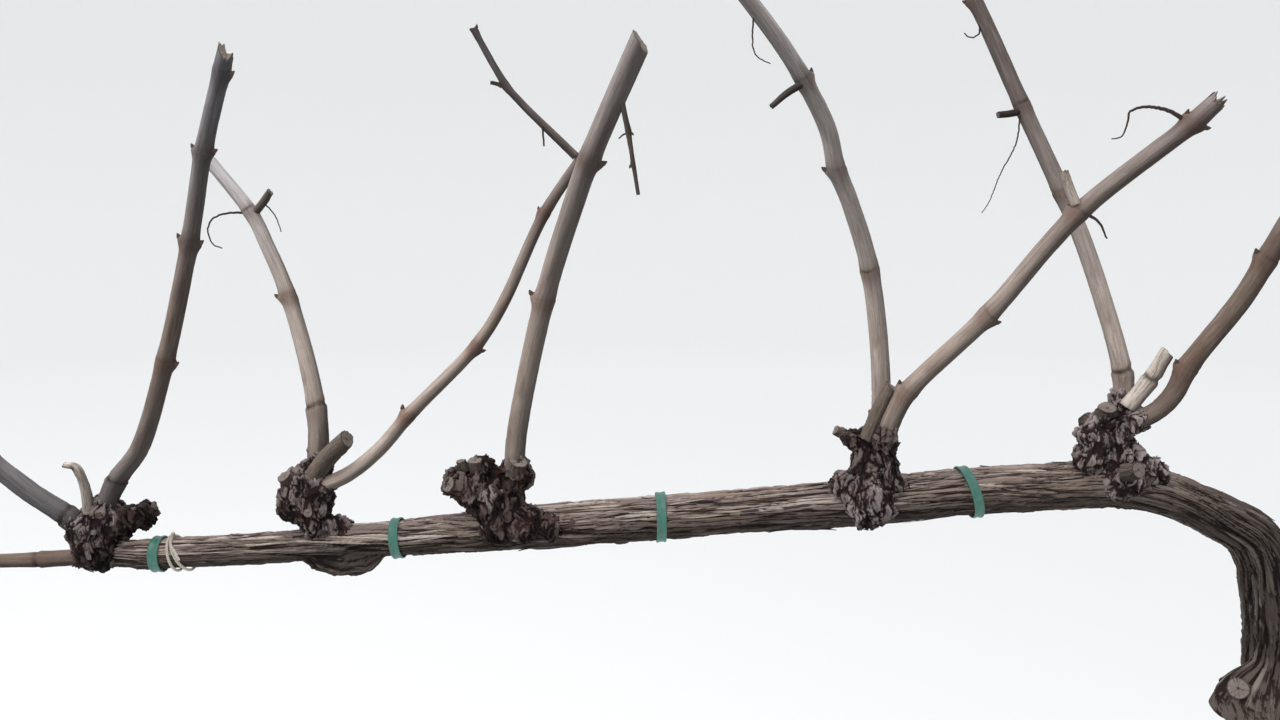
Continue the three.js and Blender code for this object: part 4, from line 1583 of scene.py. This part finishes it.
# The middle of the plant along X, the floor's flat radius, the radius of the bend that leads up
# from it and the height of the backdrop, all in metres.
MIDDLE_X, FLOOR_RADIUS, FLOOR_BEND, BACKDROP_HEIGHT = -0.541, 8, 3, 4.4
CAMERA_PLACE = (MIDDLE_X, -0.8, 0.874)
SKY_COLOUR, SKY_STRENGTH = linear("f2f4f7"), 1.26
# Each lamp: its name, its place and size in metres, its value in the look, and its aim's height.
LAMPS = [
    ("sky_panel", (-1.5, -0.9, 2.9), 2.2, "key", 0.75),
    ("front_fill", (-2.2, -3.0, 1.4), 2.0, "fill", 0.7),
]


def sweep_floor(look):
    """A round floor that curves up into a far backdrop."""
    sides = 96
    profile = [(3, 0), (6, 0), (FLOOR_RADIUS, 0)]
    for a in np.linspace(0.15, math.pi / 2, 10):
        profile.append((FLOOR_RADIUS + FLOOR_BEND * math.sin(a), FLOOR_BEND * (1 - math.cos(a))))
    profile.append((FLOOR_RADIUS + FLOOR_BEND, BACKDROP_HEIGHT))
    points = [(0, 0, 0)] + [
        (1000 * (radius * math.cos(turn) + MIDDLE_X), 1000 * radius * math.sin(turn), 1000 * height)
        for radius, height in profile
        for turn in circle(sides)
    ]
    faces = [(0, 1 + i, 1 + (i + 1) % sides) for i in range(sides)] + rings(len(profile), sides, 1)
    floor = mesh_piece("floor", points, faces)
    floor.data.shade_smooth()
    paint = painted("floor", lambda graph: (tuple([*look.floor, 1]), 0.9, None, 0, 0.2), 0)
    floor.data.materials.append(paint)


class GRAPEVINE_OT_stage(Maker, bpy.types.Operator):
    """Lay the floor, hang the lights and set the camera"""

    bl_idname = "grapevine.stage"
    bl_label = "Stage"

    def make(self, scene):
        look = scene.vine_stage
        sweep_floor(look)
        world = bpy.data.worlds.new("overcast")
        world.use_nodes = True
        background = world.node_tree.nodes["Background"]
        background.inputs["Color"].default_value = (*SKY_COLOUR, 1)
        background.inputs["Strength"].default_value = SKY_STRENGTH
        scene.world = world
        for name, place, size, power, height in LAMPS:
            data = bpy.data.lights.new(name, "AREA")
            data.size, data.energy = size, getattr(look, power)
            lamp = bpy.data.objects.new(name, data)
            lamp.location = place
            x, y, z = unit(np.array([MIDDLE_X, 0, height]) - place)
            lamp.rotation_euler = (math.acos(-z), 0, math.atan2(x, -y))
            scene.collection.objects.link(lamp)
        camera = bpy.data.objects.new("camera", bpy.data.cameras.new("camera"))
        camera.data.lens = look.lens
        camera.location = CAMERA_PLACE
        camera.rotation_euler = (math.pi / 2 - look.pitch, 0, 0)
        scene.collection.objects.link(camera)
        scene.camera = camera
        scene.view_settings.view_transform = "Standard"


OPERATORS = [
    GRAPEVINE_OT_stem, GRAPEVINE_OT_loose_bark, GRAPEVINE_OT_heads, GRAPEVINE_OT_head_flakes,
    GRAPEVINE_OT_canes, GRAPEVINE_OT_stumps, GRAPEVINE_OT_buds, GRAPEVINE_OT_tendrils,
    GRAPEVINE_OT_ties, GRAPEVINE_OT_twine, GRAPEVINE_OT_stage,
]


class GRAPEVINE_PT_panel(bpy.types.Panel):
    """The grapevine's pieces and what can be changed on them"""

    bl_idname = "GRAPEVINE_PT_panel"
    bl_label = "Grapevine"
    bl_space_type = "VIEW_3D"
    bl_region_type = "UI"
    bl_category = "Grapevine"

    def draw(self, context):
        for operator in OPERATORS:
            self.layout.operator(operator.bl_idname)
        for key, group in LOOKS.items():
            box = self.layout.box()
            look = getattr(context.scene, key)
            for name in group.__annotations__:
                box.prop(look, name)


def register():
    for group in (*LOOKS.values(), *OPERATORS, GRAPEVINE_PT_panel):
        bpy.utils.register_class(group)
    for key, group in LOOKS.items():
        setattr(bpy.types.Scene, key, PointerProperty(type=group))


def unregister():
    for key in LOOKS:
        delattr(bpy.types.Scene, key)
    for group in (GRAPEVINE_PT_panel, *reversed(OPERATORS), *reversed(LOOKS.values())):
        bpy.utils.unregister_class(group)


def main():
    """Grows every piece in order."""
    register()
    for operator in OPERATORS:
        getattr(bpy.ops.grapevine, operator.bl_idname.split(".")[1])()


if __name__ == "__main__":
    main()
